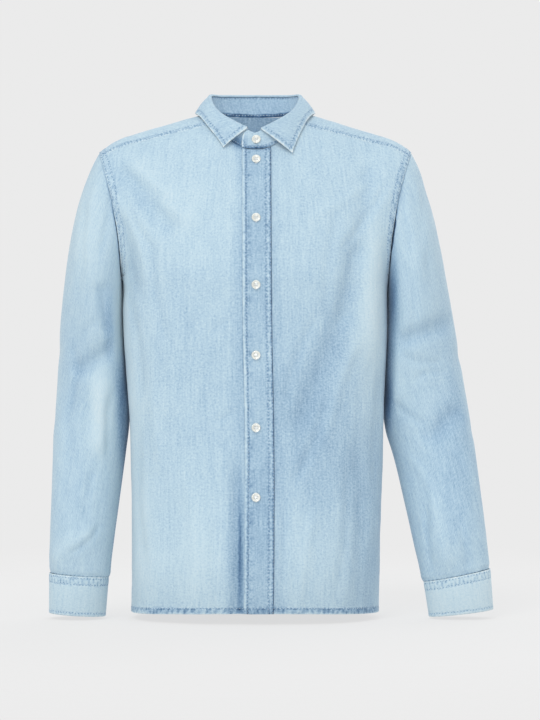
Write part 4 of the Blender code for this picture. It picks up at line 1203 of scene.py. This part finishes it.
def threads(name, runs, material, width=THREAD, flatness=1):
    """Rounded threads from their starts to their ends, all as one mesh."""
    start, end, out = (np.concatenate(part) for part in zip(*runs))
    side = unit(np.cross(out, end - start))
    drop = 0.5 * width * flatness
    rows = []
    for share, rise, half_width in THREAD_FORM:
        middle = start + (end - start) * share
        up, wide = rise * width * flatness, half_width * width
        for sideways, height in ((-wide, up - drop), (0, up), (wide, up - drop)):
            rows.append(middle + side * sideways + out * height)
    points = np.stack(rows, axis=1).reshape(-1, 3)
    ring = quads_of(np.arange(len(rows)).reshape(-1, 3))
    faces = ring[None] + len(rows) * np.arange(len(start))[:, None, None]
    return build(name, points, faces.reshape(-1, 4), material)


def nearest(cloth, point):
    return int(np.argmin(np.linalg.norm(cloth.surface().reshape(-1, 3) - point, axis=1)))


def buttonhole(cloth, centre):
    """The threads round an upright buttonhole that lies under a button."""
    turns = np.arange(0, 2 * math.pi, HOLE_TURN)
    lengthwise = (HOLE_LENGTH / 2 - HOLE_END) * np.sign(np.cos(turns)) + HOLE_END * np.cos(turns)
    flat = np.stack([HOLE_END * np.sin(turns), lengthwise], axis=1)
    out = cloth.normals.reshape(-1, 3)[nearest(cloth, centre)]
    level = unit(np.cross([0, 0, 1.0], out))
    inner, outer = (
        centre + (flat * share) @ np.stack([level, np.cross(out, level)]) for share in HOLE_RING
    )
    return inner, outer, np.repeat(out[None], len(turns), axis=0)


# ---------------------------------------------------------------- buttons

# All in mm
BUTTON_PROFILE = (  # radius and height: the middle, the rim, the back
    (0, 1.15), (2.2, 1.15), (3.6, 1.3), (4.5, 1.75), (5.0, 2.15), (5.5, 2.28), (6.0, 2.12),
    (6.35, 1.7), (6.5, 1.15), (6.3, 0.55), (5.6, 0.15), (4.2, 0), (0, 0),
)
BUTTON_HOLE_AT, BUTTON_HOLE_RADIUS, THROUGH = 1.35, 0.85, 8  # where its holes are, and how wide
BUTTON_OFF = 0.5  # a button's back stands this far off the cloth
BUTTON_TURN_STEPS, BUTTON_HOLE_SIDES, BUTTON_SHARP = 40, 14, math.radians(38)
HOLE_THREAD_RISE, HOLE_THREAD_APART, HOLE_THREAD_REACH = 1.85, 0.28, 1.6


def seat(cloth, node):
    """The point of a cloth under the middle of a button's CAD solid, and the normal there."""
    low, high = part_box(node)
    centre = np.array((low + high) / 2)
    index = nearest(cloth, centre)
    point, out = cloth.surface().reshape(-1, 3)[index], cloth.normals.reshape(-1, 3)[index]
    return centre - out * ((centre - point) @ out), out


def button_mesh(material):
    """A four-hole button: a rounded rim round a dished middle, its back at z = 0."""
    mesh = bpy.data.meshes.new("button profile")
    points = [(radius * MM, 0, height * MM) for radius, height in BUTTON_PROFILE]
    mesh.from_pydata(points, [(i, i + 1) for i in range(len(points) - 1)], [])
    turned = bpy.data.objects.new("button profile", mesh)
    bpy.context.scene.collection.objects.link(turned)
    screw = turned.modifiers.new("turn", "SCREW")
    screw.steps = screw.render_steps = BUTTON_TURN_STEPS
    screw.use_merge_vertices = True
    screw.merge_threshold = 0.01 * MM
    cutters = []
    for x, y in ((1, 1), (1, -1), (-1, 1), (-1, -1)):
        bpy.ops.mesh.primitive_cylinder_add(
            vertices=BUTTON_HOLE_SIDES, radius=BUTTON_HOLE_RADIUS * MM, depth=THROUGH * MM,
            location=(BUTTON_HOLE_AT * x * MM, BUTTON_HOLE_AT * y * MM, 0),
        )
        cutters.append(bpy.context.object)
        cut = turned.modifiers.new("hole", "BOOLEAN")
        cut.operation, cut.object = "DIFFERENCE", cutters[-1]
    depsgraph = bpy.context.evaluated_depsgraph_get()
    result = bpy.data.meshes.new_from_object(turned.evaluated_get(depsgraph))
    for obj in [turned, *cutters]:
        bpy.data.objects.remove(obj)
    result.materials.clear()
    result.materials.append(material)
    result.shade_smooth()
    result.set_sharp_from_angle(angle=BUTTON_SHARP)
    return result


def add_button(node, mesh, point, out):
    """A button in place of its CAD solid. Gives back the threads across its holes."""
    button = bpy.data.objects.new(f"{node}_pearl", mesh)
    bpy.context.scene.collection.objects.link(button)
    button.location = point + out * BUTTON_OFF * MM
    turn = Vector(out).to_track_quat("Z", "Y")
    button.rotation_mode = "QUATERNION"
    button.rotation_quaternion = turn
    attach(button, "root")
    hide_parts(node)
    level, up = np.array(turn @ Vector((1, 0, 0))), np.array(turn @ Vector((0, 1, 0)))
    reach = up * HOLE_THREAD_REACH * MM
    runs = []
    for holes in (-BUTTON_HOLE_AT, BUTTON_HOLE_AT):
        for shift in (-HOLE_THREAD_APART, HOLE_THREAD_APART):
            middle = point + level * (holes + shift) * MM + out * HOLE_THREAD_RISE * MM
            runs.append(((middle - reach)[None], (middle + reach)[None], out[None]))
    return runs


# ---------------------------------------------------------------- materials

TWILL_SCALE = 2 * math.pi / (10 * 0.0018)  # a line across the cloth meets a rib each 1.8 mm
TWILL_TONE = 0.07
MOTTLE_EVERYWHERE = 0.5  # how much the mottling shows away from the seams
STREAKS, SLUBS, CLOUDS, FLECK, MOTTLE = 0.16, 0.12, 0.10, 0.30, 0.7  # how strong each layer is
STREAK_BUMP, RIB_BUMP, MOTTLE_BUMP, BUMP_DISTANCE = 0.6, 0.5, 2.0, 0.0003
DENIM_RAMP = (
    (0.0, (0.03, 0.075, 0.15)),
    (0.22, (0.13, 0.235, 0.37)),
    (0.42, (0.33, 0.47, 0.595)),
    (0.55, (0.465, 0.605, 0.685)),
    (0.75, (0.59, 0.695, 0.74)),
    (1.0, (0.76, 0.82, 0.85)),
)


def new_material(name, **inputs):
    """A material whose shader's inputs have the values given, with _ for each space."""
    material = bpy.data.materials.new(name)
    material.use_nodes = True
    tree = material.node_tree
    shader = tree.nodes["Principled BSDF"]
    for key, value in inputs.items():
        shader.inputs[key.replace("_", " ")].default_value = value
    return material, tree, shader


def denim(name, lift=0.0, mottling=1.0):
    """Washed denim: a pale blue twill whose warp keeps uneven streaks of indigo."""
    material, tree, shader = new_material(
        name, Roughness=0.9, Sheen_Weight=0.12, Sheen_Roughness=0.5, Specular_IOR_Level=0.2
    )

    def add(kind, **settings):
        node = tree.nodes.new(kind)
        for key, value in settings.items():
            setattr(node, key, value)
        return node

    def math_node(operation, a, b, clamp=False):
        node = add("ShaderNodeMath", operation=operation, use_clamp=clamp)
        for socket, value in zip(node.inputs, (a, b)):
            if isinstance(value, (int, float)):
                socket.default_value = value
            else:
                tree.links.new(value, socket)
        return node.outputs[0]

    cloth_uv = add("ShaderNodeUVMap", uv_map="cloth").outputs["UV"]

    def scaled(x, y):
        node = add("ShaderNodeVectorMath", operation="MULTIPLY")
        tree.links.new(cloth_uv, node.inputs[0])
        node.inputs[1].default_value = (x, y, 1)
        return node.outputs[0]

    def texture(x, y, detail=2.0, roughness=0.55):
        """Noise round 0, its cells 1 / x metres wide and 1 / y metres long on the cloth."""
        node = add("ShaderNodeTexNoise")
        tree.links.new(scaled(x, y), node.inputs["Vector"])
        for key, value in (("Scale", 1), ("Detail", detail), ("Roughness", roughness)):
            node.inputs[key].default_value = value
        return math_node("SUBTRACT", node.outputs["Fac"], 0.5)

    tone = add("ShaderNodeAttribute", attribute_name="tone").outputs["Fac"]
    near = add("ShaderNodeAttribute", attribute_name="near_seam").outputs["Fac"]
    streaks, slubs = texture(620, 42), texture(240, 11)
    clouds, fleck = texture(38, 22, 3), texture(1300, 900, 1)
    mottle = texture(300, 330, 2, 0.6)
    mottle = math_node("MULTIPLY", mottle, math_node("ADD", near, MOTTLE_EVERYWHERE))
    total = math_node("ADD", tone, 0.5 + lift)
    for layer, strength in (
        (streaks, STREAKS), (slubs, SLUBS), (clouds, CLOUDS), (fleck, FLECK),
        (mottle, MOTTLE * mottling),
    ):
        total = math_node("ADD", total, math_node("MULTIPLY", layer, strength))

    twill = add("ShaderNodeTexWave", wave_type="BANDS", bands_direction="DIAGONAL")
    tree.links.new(scaled(1, 1), twill.inputs["Vector"])
    for key, value in (("Scale", TWILL_SCALE), ("Distortion", 0.6), ("Detail", 1)):
        twill.inputs[key].default_value = value
    rib = math_node("SUBTRACT", twill.outputs["Fac"], 0.5)
    total = math_node("ADD", total, math_node("MULTIPLY", rib, TWILL_TONE), clamp=True)

    ramp = add("ShaderNodeValToRGB")
    tree.links.new(total, ramp.inputs["Fac"])
    elements = ramp.color_ramp.elements
    while len(elements) < len(DENIM_RAMP):
        elements.new(0.5)
    for element, (position, color) in zip(elements, DENIM_RAMP):
        element.position = position
        element.color = (*color, 1)
    tree.links.new(ramp.outputs["Color"], shader.inputs["Base Color"])

    bump = add("ShaderNodeBump")
    bump.inputs["Strength"].default_value = 0.5
    bump.inputs["Distance"].default_value = BUMP_DISTANCE
    ribs, lines = math_node("MULTIPLY", rib, RIB_BUMP), math_node("MULTIPLY", streaks, STREAK_BUMP)
    height = math_node("ADD", ribs, lines)
    height = math_node("ADD", height, math_node("MULTIPLY", mottle, MOTTLE_BUMP))
    tree.links.new(height, bump.inputs["Height"])
    tree.links.new(bump.outputs["Normal"], shader.inputs["Normal"])
    return material


def thread_material(name, color, roughness):
    return new_material(name, Base_Color=(*color, 1), Roughness=roughness)[0]


def pearl_material():
    """Cloudy mother-of-pearl, with a gloss."""
    material, tree, shader = new_material(
        "pearl button", Roughness=0.22, Coat_Weight=0.4, Coat_Roughness=0.1
    )
    clouds = tree.nodes.new("ShaderNodeTexNoise")
    clouds.inputs["Scale"].default_value = 260
    clouds.inputs["Detail"].default_value = 2
    coordinates = tree.nodes.new("ShaderNodeTexCoord")
    tree.links.new(coordinates.outputs["Object"], clouds.inputs["Vector"])
    ramp = tree.nodes.new("ShaderNodeValToRGB")
    ends = ((0.3, (0.56, 0.57, 0.52, 1)), (0.7, (0.76, 0.78, 0.74, 1)))
    for element, (position, color) in zip(ramp.color_ramp.elements, ends):
        element.position, element.color = position, color
    tree.links.new(clouds.outputs["Fac"], ramp.inputs["Fac"])
    tree.links.new(ramp.outputs["Color"], shader.inputs["Base Color"])
    return material


# ================================================================ the shirt's pieces

grids, depths = cloth_grids()
normals = normals_of(grids)
turns_at = armhole_angles()
pieces = {
    name: Cloth(name, grid, normals[name], depths[name], name in SLEEVE_SIDES)
    for name, grid in grids.items()
}
LEFT_UNDER = len(STRIP_FINE) - UNDERLAP  # how many of the left front's columns the placket covers
PLACKET_CUT_ROWS = np.array([0.4, 0.7, 1])[:, None, None]  # shares of PLACKET_TOP_CUT
SLIT_FROM, SLIT_TO = math.radians(-90.5), math.radians(-74.5)  # turns round the sleeve
SLIT_TOP = 0.75  # share of the sleeve's length


def add_piece(name, grid, out=None, depth=None):
    out = normals_alone(grid) if out is None else out
    pieces[name] = Cloth(name, grid, out, np.zeros(grid.shape[:2]) if depth is None else depth)


def placket_strip(field):
    """What a field of the fronts says where the placket lies over them."""
    right, left = field["front_right"][:, -UNDERLAP - 1 :], field["front_left"][:, 1:LEFT_UNDER]
    return np.concatenate([right, left], axis=1)


def slit_place(side):
    """The rows and columns of a sleeve that its placket covers, at the back of the wrist."""
    columns = np.where((turns_at >= SLIT_FROM) & (turns_at <= SLIT_TO))[0]
    first, after = columns[0], columns[-1] + 1
    if side < 0:
        first, after = len(turns_at) - after, len(turns_at) - first
    return np.s_[int(np.searchsorted(SLEEVE_V, SLIT_TOP)) :, first:after]


out = placket_strip(normals)
points = placket_strip(grids) + out * (CLOTH + LAP_GAP)
points[-3:] += unit(points[-2] - points[-1]) * PLACKET_TOP_CUT * PLACKET_CUT_ROWS
add_piece("placket", points, out, placket_strip(depths))
add_piece("collar_stand", stand_grid())
add_piece("collar", leaf_grid()[:, ::-1])
for name, side in SLEEVE_SIDES.items():
    place = slit_place(side)
    out = normals[name][place]
    points = grids[name][place] + out * (CLOTH + LAP_GAP)
    add_piece(name.replace("sleeve", "sleeve_placket"), points, out, depths[name][place])
    cuff = cuff_grid(side)
    add_piece(name.replace("sleeve", "cuff"), cuff if side > 0 else mirrored(cuff))

# ---------------------------------------------------------------- seams

ARMPIT_ROW = len(LOW) - 1
ARMHOLE, SIDE_SEAM = (ARMPIT_ROW, None), (0, ARMPIT_ROW)  # parts of a panel's side
BACK_FROM = len(YOKE_ARM) - 1  # the yoke's columns run along the left armhole, then the back
BACK_TO = BACK_FROM + len(BACK_U) - 1
LEFT_ARM, BACK_SEAM, RIGHT_ARM = (0, BACK_FROM), (BACK_FROM, BACK_TO), (BACK_TO, None)
# The last column wears an edge paler where it is above 0, and paints shade along it where it is below
SEAMS = (
    # pieces             edges             band  lines       part       proud  pucker edge_wear_and_shade
    ("front_ back",      "bottom",         8.5,  (8,),       WHOLE,     0.35,  0.35,  0.16),
    ("front_left",       "right",          9.5,  (2.2, 9),   ARMHOLE,   0.35,  0.26,  0.12),
    ("front_right",      "left",           9.5,  (2.2, 9),   ARMHOLE,   0.3,   0.15,  0.06),
    ("back",             "right left",     9.5,  (2.2, 9),   ARMHOLE,   0.35,  0.26,  0.12),
    ("back",             "right left",     8.5,  (2.2, 8),   SIDE_SEAM, 0.3,   0.24,  0.10),
    ("yoke",             "left right",     7.5,  (1.8, 7),   WHOLE,     0.3,   0.24,  0.14),
    ("yoke",             "bottom",         7.5,  (1.8, 7),   BACK_SEAM, 0.3,   0.24,  0.14),
    ("yoke",             "bottom",         9.5,  (2.2, 9),   LEFT_ARM,  0.35,  0.26,  0.12),
    ("yoke",             "bottom",         9.5,  (2.2, 9),   RIGHT_ARM, 0.35,  0.26,  0.12),
    ("sleeve_",          "bottom",         1.5,  (),         WHOLE,     -0.9,  0.3,   -0.16),
    ("sleeve_",          "top",            1.0,  (),         WHOLE,     0.0,   0.5,   -0.05),
    ("placket",          "left",           5.2,  (5.4,),     WHOLE,     0.25,  0.12,  0.10),
    ("placket",          "right",          7.6,  (1.6, 7.6), WHOLE,     0.25,  0.20,  -0.40),
    ("placket",          "bottom",         8.5,  (8,),       WHOLE,     0.2,   0.2,   -0.05),
    ("cuff_",            "bottom",         11.8, (2, 11.5),  WHOLE,     0.25,  0.36,  0.20),
    ("cuff_",            "top",            5,    (4.8,),     WHOLE,     0.2,   0.14,  0.12),
    ("collar_stand",     "bottom",         2.2,  (2.4,),     WHOLE,     0.1,   0.16,  -0.12),
    ("collar_stand",     "left",           2.2,  (2.4,),     WHOLE,     0.25,  0.10,  0.50),
    ("collar_stand",     "right",          2.2,  (2.4,),     WHOLE,     0.1,   0.10,  0.25),
    ("collar",           "top left right", 6.8,  (6.8,),     WHOLE,     0.15,  0.20,  0.45),
    ("sleeve_placket_",  "left right",     2.2,  (2.2,),     WHOLE,     0.1,   0.16,  0.2),
)


def named(words):
    """The pieces in a row of SEAMS: a word that ends in _ stands for a left and a right one."""
    for word in words.split():
        yield from (word + side for side in ("left", "right")) if word[-1] == "_" else (word,)


SEWN = [
    (name, edge, *style)
    for words, edges, *style in SEAMS for name in named(words) for edge in edges.split()
]
for number, (name, edge, *style) in enumerate(SEWN):
    sew(pieces[name], edge, *style, seed=10 + 2 * number)

# ---------------------------------------------------------------- the wear and painted shade of single pieces

# Where a sleeve turns in: from this height down it does so more, over the second number of mm
TURN_IN_FROM, TURN_IN_OVER = -70, 90
# The turn-in's tone is painted shade in the crease along the armhole
TURN_IN_DEPTH, TURN_IN_SHADE = (0.5, 0.7), (-0.06, -0.30)  # everywhere, and what low down adds
TURN_IN_WIDTH, TURN_IN_SHADE_WIDTH = 6, 3
# Soft spots of painted light (+) and painted shade (-): shade on each sleeve where it lies against
# the body, light on the right front and right sleeve where they turn in to the slit between them,
# and shade in the crease beside the lower placket.
PAINTED_LIGHT_SPOTS = {
    # x z half_width half_height amount
    "sleeve_left": ((201, -268, 8, 58, -0.34), (196, -345, 6, 30, -0.2), (195, -412, 7, 42, -0.42)),
    "sleeve_right": (
        (-213, -310, 6, 45, -0.13), (-199, -280, 6, 70, 0.16), (-194, -405, 10, 58, -0.38),
        (-196, -480, 7, 40, -0.2),
    ),
    "front_right": ((-194, -260, 9, 90, 0.18), (-20.5, -650, 3.5, 95, -0.34)),
}
PLACKET_CREASE, PLACKET_CREASE_DEPTH = (-21, -650, 5, 95), 0.8 * MM
# Painted shadow, in front only: under the collar's leaf, and along the foot of its stand
SHADOW_UNDER_COLLAR = ((-24, -40, 11, 8, -0.36), (3, -49, 20, 3.2, -0.26))
# The placket, in mm from its free edge: that edge, its middle, the painted shade of short pulls, and
# the painted shade along its stitches' line
PLACKET_EDGE, PLACKET_EDGE_TONE, PLACKET_MIDDLE_TONE = 4, 0.05, -0.04
PULLS_FROM, PULLS_TO, PULL_SPACING, PULL_SHADE = 7, 15, 2.7, -0.16
PLACKET_LINE, PLACKET_LINE_WIDTH, PLACKET_LINE_SHADE = 5.4, 0.8, -0.20
PLACKET_SEWN_EDGE, PLACKET_SEWN_TONE = 7, 0.06  # in mm from its other edge
# How much paler (+) or bluer (-) the placket is, by height, in thousandths
PLACKET_TONE_BY_HEIGHT = table(
    "z amount",
    (-760, -30), (-689, -27), (-632, -74), (-574, -70), (-516, -27), (-459, 23), (-401, 12),
    (-344, 37), (-300, -10), (-228, -22), (-171, -55), (-113, -48), (-40, -48),
)
BESIDE = 7  # how many columns of a front get painted shade beside the placket
PLACKET_SHADE_LEFT, PLACKET_SHADE_RIGHT = -0.06, -0.08
BESIDE_DOWN_TO = -520  # in mm: below this the right front isn't
LIFTS = {"cuff_left": 0.13, "cuff_right": 0.08, "collar": -0.01}
INSIDE_SHADE, STAND_INSIDE_TONE = -0.15, 0.07  # painted shade on every piece's inside, less on the stand's
STAND_END_COLUMNS, STAND_END_TONE = 4, 0.22
STAND_SEAMS = (("bottom", 4.5, -0.34), ("top", 2.5, -0.22))  # inside: edge, width, tone
HEM_BAND, HEM_PULL_REACH, HEM_PULL_DEPTH = 8.5, 14, 0.45
HEM_TONES = {"front_left": -0.13, "front_right": -0.13, "back": -0.13, "placket": -0.17}


def turn_in(sleeve):
    """Sinks a sleeve along the armhole and paints shade there, most of all low down, where it
    creases.
    """
    distance = from_edge(sleeve.grid, "bottom")[0] / MM
    low = smooth((TURN_IN_FROM - sleeve.grid[:1, :, 2] / MM) / TURN_IN_OVER)
    depth, tone = (least + more * low for least, more in (TURN_IN_DEPTH, TURN_IN_SHADE))
    sleeve.height -= depth * MM * bell(distance, TURN_IN_WIDTH)
    sleeve.tone += tone * bell(distance, TURN_IN_SHADE_WIDTH)


def wash_and_shade_placket(placket):
    """A pale free edge, a bluer middle, painted shade in short pulls beside its stitching and along
    its stitches' line, a tone by height, and a paler band by its sewn edge.
    """
    distance, along = from_edge(placket.grid, "left")
    distance, along = (TURNED["left"][1](field + 0 * distance) / MM for field in (distance, along))
    pulls = np.clip(noise(along / PULL_SPACING, 0 * along, 91) - 0.1, 0, 1)
    pulls = pulls * smooth(distance - PULLS_FROM) * smooth((PULLS_TO - distance) / 5)
    placket.tone += PLACKET_EDGE_TONE * within_band(distance, PLACKET_EDGE)
    placket.tone += PLACKET_MIDDLE_TONE * smooth((distance - PLACKET_EDGE) / 2)
    # Painted shade in the short pulls, and along the stitches' line
    placket.tone += PULL_SHADE * pulls
    placket.tone += PLACKET_LINE_SHADE * bell(distance - PLACKET_LINE, PLACKET_LINE_WIDTH)
    placket.tone += np.interp(placket.grid[..., 2], PLACKET_TONE_BY_HEIGHT["z"], PLACKET_TONE_BY_HEIGHT["amount"])
    distance = TURNED["right"][1](from_edge(placket.grid, "right")[0]) / MM
    sewn = within_band(distance, PLACKET_SEWN_EDGE) * smooth(distance - 0.8)
    placket.tone += PLACKET_SEWN_TONE * sewn


def shade_beside_placket(left, right):
    """Painted shade on the fronts beside the placket, on the right one in its upper part only."""
    columns = slice(LEFT_UNDER - 1, LEFT_UNDER - 1 + BESIDE)
    left.tone[:, columns] += PLACKET_SHADE_LEFT * np.linspace(1, 0, BESIDE)
    columns = slice(-UNDERLAP - BESIDE, -UNDERLAP)
    upper = smooth((right.grid[:, columns, 2] / MM - BESIDE_DOWN_TO) / 80)
    right.tone[:, columns] += PLACKET_SHADE_RIGHT * upper * np.linspace(0, 1, BESIDE)


def line_stand(stand):
    """The stand's seams show as bands on its inside. Its overlapping end is paler."""
    stand.inner_lift += STAND_INSIDE_TONE
    stand.tone[:, :STAND_END_COLUMNS] += STAND_END_TONE
    for edge, reach, amount in STAND_SEAMS:
        distance, along = (field / MM for field in from_edge(stand.grid, edge))
        uneven = 0.75 + 0.5 * noise(along / 3 + 0 * distance, distance / 4, 33)
        stand.inner_lift += TURNED[edge][1](amount * within_band(distance, reach) * uneven)


def double_hem(cloth, amount):
    """Bluer where the hem is doubled, with slanting pulls above it."""
    distance, along = (field / MM for field in from_edge(cloth.grid, "bottom"))
    band = within_band(distance, HEM_BAND) * smooth((distance - 0.5) / 2.5)
    uneven = 0.55 + 0.75 * noise(along / 3.4 + 0 * distance, distance / 9, 71)
    pull = np.exp(-np.clip(distance - HEM_BAND, 0, None) / HEM_PULL_REACH) * (1 - band)
    cloth.tone += amount * band * uneven
    slanting = noise((along + 0.9 * distance) / 13, distance / 40, 72)
    cloth.height += pull * HEM_PULL_DEPTH * MM * slanting


for name in SLEEVE_SIDES:
    turn_in(pieces[name])
# Painted light and shade in soft spots
for name, spots in PAINTED_LIGHT_SPOTS.items():
    for *place, amount in spots:
        pieces[name].tone += amount * spot(pieces[name].grid, *place)
wash_and_shade_placket(pieces["placket"])
shade_beside_placket(pieces["front_left"], pieces["front_right"])
# Painted shadow under the collar and along the stand's foot
for name in ("front_right", "collar_stand", "placket"):
    cloth = pieces[name]
    for *place, amount in SHADOW_UNDER_COLLAR:
        cloth.tone += amount * spot(cloth.grid, *place) * (cloth.grid[..., 1] < 0)
for name, lift in LIFTS.items():
    pieces[name].tone += lift
crease = spot(pieces["front_right"].grid, *PLACKET_CREASE)
pieces["front_right"].height -= PLACKET_CREASE_DEPTH * crease
# Painted shade on the inside of every piece
for cloth in pieces.values():
    cloth.inner_lift += INSIDE_SHADE
line_stand(pieces["collar_stand"])
for name, amount in HEM_TONES.items():
    double_hem(pieces[name], amount)

# ---------------------------------------------------------------- sleeve seams and stitches

SLEEVE_SEAM_LINES = (0, 6.4)  # mm beside the seam, which runs down from the armpit
# The sleeve seam's tone is painted shade along each of its stitch lines
SLEEVE_SEAM_WIDTH, SLEEVE_SEAM_RISE, SLEEVE_SEAM_LINE_SHADE = 7, 0.3 * MM, 0.12
stitches, pulls = {"body": [], "trim": []}, []


def stitch(cloth, line):
    """Threads along a line, and the pulls between them, which get a dark strip of painted shade."""
    stitches["body" if cloth.name in grids else "trim"].append(stitched(*line))
    pulls.append(between(*line))


for name, side in SLEEVE_SIDES.items():
    cloth = pieces[name]
    across = length_across(cloth.grid)
    column = int(np.argmin(np.abs(turns_at - math.pi)))
    column = column if side > 0 else len(turns_at) - 1 - column
    beside = (across - across[:, column : column + 1]) / MM
    raised = smooth((beside + 1.5) / 2) * within_band(beside, SLEEVE_SEAM_WIDTH)
    cloth.height += SLEEVE_SEAM_RISE * raised
    for line in SLEEVE_SEAM_LINES:
        cloth.tone -= SLEEVE_SEAM_LINE_SHADE * bell(beside - line, 1.3)
        stitch(cloth, line_down(cloth, column, line * MM))
for name, edge, _, lines, part, *_ in SEWN:
    for at in lines:
        stitch(pieces[name], line_at(pieces[name], edge, at * MM, part))

# ---------------------------------------------------------------- the finished meshes

ABOVE_ARMPIT = (ARMPIT_ROW + 2, None)
LAPS = {
    "yoke": {"left": WHOLE, "right": WHOLE, "bottom": WHOLE},
    "front_left": {"right": ABOVE_ARMPIT},
    "front_right": {"left": ABOVE_ARMPIT},
    "back": {"left": WHOLE, "right": WHOLE},
    "cuff_left": {"bottom": WHOLE},
    "cuff_right": {"bottom": WHOLE},
    "collar_stand": {"bottom": WHOLE},
}
PLAIN_THICKNESS = 1.1  # mm, like those below
THICKNESS = {"placket": 1.4, "collar_stand": 1.6, "collar": 1.7, "cuff_left": 1.7, "cuff_right": 1.7}
INSIDE_STITCHES = (("bottom", 2.4), ("top", 2.0))  # on the stand: edge and mm from it
BUTTON_HOSTS = {
    "button_1": "collar_stand",
    **{f"button_{number}": "placket" for number in range(2, 8)},
    "cuff_button_left": "cuff_left",
    "cuff_button_right": "cuff_right",
}

body_denim, trim_denim = denim("washed denim"), denim("washed denim, trim", -0.01, 0.9)
thread = thread_material("thread", (0.56, 0.67, 0.75), 0.8)
# Dark strips between the stitches: painted shade where each thread pulls the cloth in
pull_shade = thread_material("painted shade between stitches", (0.16, 0.28, 0.43), 0.9)
button_thread = thread_material("button thread", (0.62, 0.68, 0.74), 0.8)
shells = {
    name: shell(
        cloth, THICKNESS.get(name, PLAIN_THICKNESS) * MM,
        body_denim if name in grids else trim_denim, LAPS.get(name, {}),
    )
    for name, cloth in pieces.items()
}

inner_runs = []
for edge, at in INSIDE_STITCHES:
    points, out = line_at(pieces["collar_stand"], edge, at * MM)
    inner_runs.append(stitched(points - out * THICKNESS["collar_stand"] * MM, -out))

button_runs, hole_runs = [], []
button = button_mesh(pearl_material())
for node, host in BUTTON_HOSTS.items():
    point, out = seat(pieces[host], node)
    button_runs += add_button(node, button, point, out)
    if host == "placket":
        hole_runs.append(buttonhole(pieces[host], point))
for sewn in (
    threads("seam_stitches", stitches["body"], thread),
    threads("trim_stitches", stitches["trim"], thread),
    threads("stitch_pull_shade", pulls, pull_shade, 1.3 * MM, 0.25),
    threads("inner_stitches", inner_runs, thread),
    threads("button_threads", button_runs, button_thread, 0.6 * MM),
    threads("buttonholes", hole_runs, thread, 0.4 * MM),
):
    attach(sewn, "root")

for name, obj in shells.items():
    parts = ("_head", "_upper", "_lower") if name in SLEEVE_SIDES else ("",)
    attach(obj, "root")
    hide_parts(*(name + part for part in parts))

# ---------------------------------------------------------------- stage, light and camera

FLOOR_Z, FLOOR_SIZE = -0.7385, 3.2
FLOOR_WHITE, FLOOR_GLOW = 0.15, 0.68
FADE_RADIUS, FADE_STEEPNESS = 1.5, 1.8  # the floor fades into the backdrop away from its middle
BACKDROP = 0.83
SUNS = (
    # name, direction, strength, angle across in degrees
    ("key", (0.5, 1.0, -1.3), 0.9, 25),
    ("front", (0.0, 1.0, 0.05), 0.66, 10),
    ("fill", (-0.6, -1.0, -0.6), 0.9, 60),
)
NECK_LAMP = (0, -0.03, -0.11)
NECK_LAMP_DIRECTION, NECK_LAMP_POWER, NECK_LAMP_SIZE = (0, 0.6, 1), 0.10, 0.06
CAMERA, LENS, SENSOR = (0.022, -4, -0.358), 180.18, 36
scene = bpy.context.scene


def paper_material():
    """White paper that shines a little itself, and is clear far from its middle."""
    paper, tree, shader = new_material(
        "paper", Base_Color=(*[FLOOR_WHITE] * 3, 1), Roughness=1, Specular_IOR_Level=0,
        Emission_Color=(1, 1, 1, 1), Emission_Strength=FLOOR_GLOW,
    )
    place = tree.nodes.new("ShaderNodeTexCoord")
    fade = tree.nodes.new("ShaderNodeTexGradient")
    fade.gradient_type = "SPHERICAL"
    shrink = tree.nodes.new("ShaderNodeVectorMath")
    shrink.operation = "SCALE"
    shrink.inputs["Scale"].default_value = 1 / FADE_RADIUS
    tree.links.new(place.outputs["Object"], shrink.inputs[0])
    tree.links.new(shrink.outputs[0], fade.inputs["Vector"])
    steep = tree.nodes.new("ShaderNodeMath")
    steep.operation, steep.use_clamp = "MULTIPLY", True
    steep.inputs[1].default_value = FADE_STEEPNESS
    tree.links.new(fade.outputs["Fac"], steep.inputs[0])
    tree.links.new(steep.outputs[0], shader.inputs["Alpha"])
    return paper


def add_lamp(light, direction, location=(0, 0, 0)):
    lamp = bpy.data.objects.new(light.name, light)
    lamp.location = location
    lamp.rotation_euler = Vector(direction).to_track_quat("-Z", "Y").to_euler()
    scene.collection.objects.link(lamp)
    return lamp


bpy.ops.mesh.primitive_plane_add(size=FLOOR_SIZE, location=(0, 0, FLOOR_Z))
floor = bpy.context.object
floor.name = "floor"
floor.data.materials.append(paper_material())

scene.view_settings.view_transform = "Standard"
scene.world = bpy.data.worlds.new("studio")
scene.world.use_nodes = True
background = scene.world.node_tree.nodes["Background"]
background.inputs["Color"].default_value = (BACKDROP, BACKDROP, BACKDROP, 1)
background.inputs["Strength"].default_value = 1

for name, direction, strength, angle in SUNS:
    sun = bpy.data.lights.new(name, "SUN")
    sun.energy, sun.angle = strength, math.radians(angle)
    add_lamp(sun, direction)

# A dim lamp inside the neck, for the light that a large lamp in front would bring there
glow = bpy.data.lights.new("neck", "AREA")
glow.shape, glow.size, glow.energy = "DISK", NECK_LAMP_SIZE, NECK_LAMP_POWER
add_lamp(glow, NECK_LAMP_DIRECTION, NECK_LAMP).visible_camera = False

camera = bpy.data.cameras.new("camera")
camera.sensor_width, camera.sensor_fit, camera.lens = SENSOR, "HORIZONTAL", LENS
camera.clip_end = 50
eye = bpy.data.objects.new("camera", camera)
eye.location = CAMERA
eye.rotation_euler = (math.pi / 2, 0, 0)
scene.collection.objects.link(eye)
scene.camera = eye
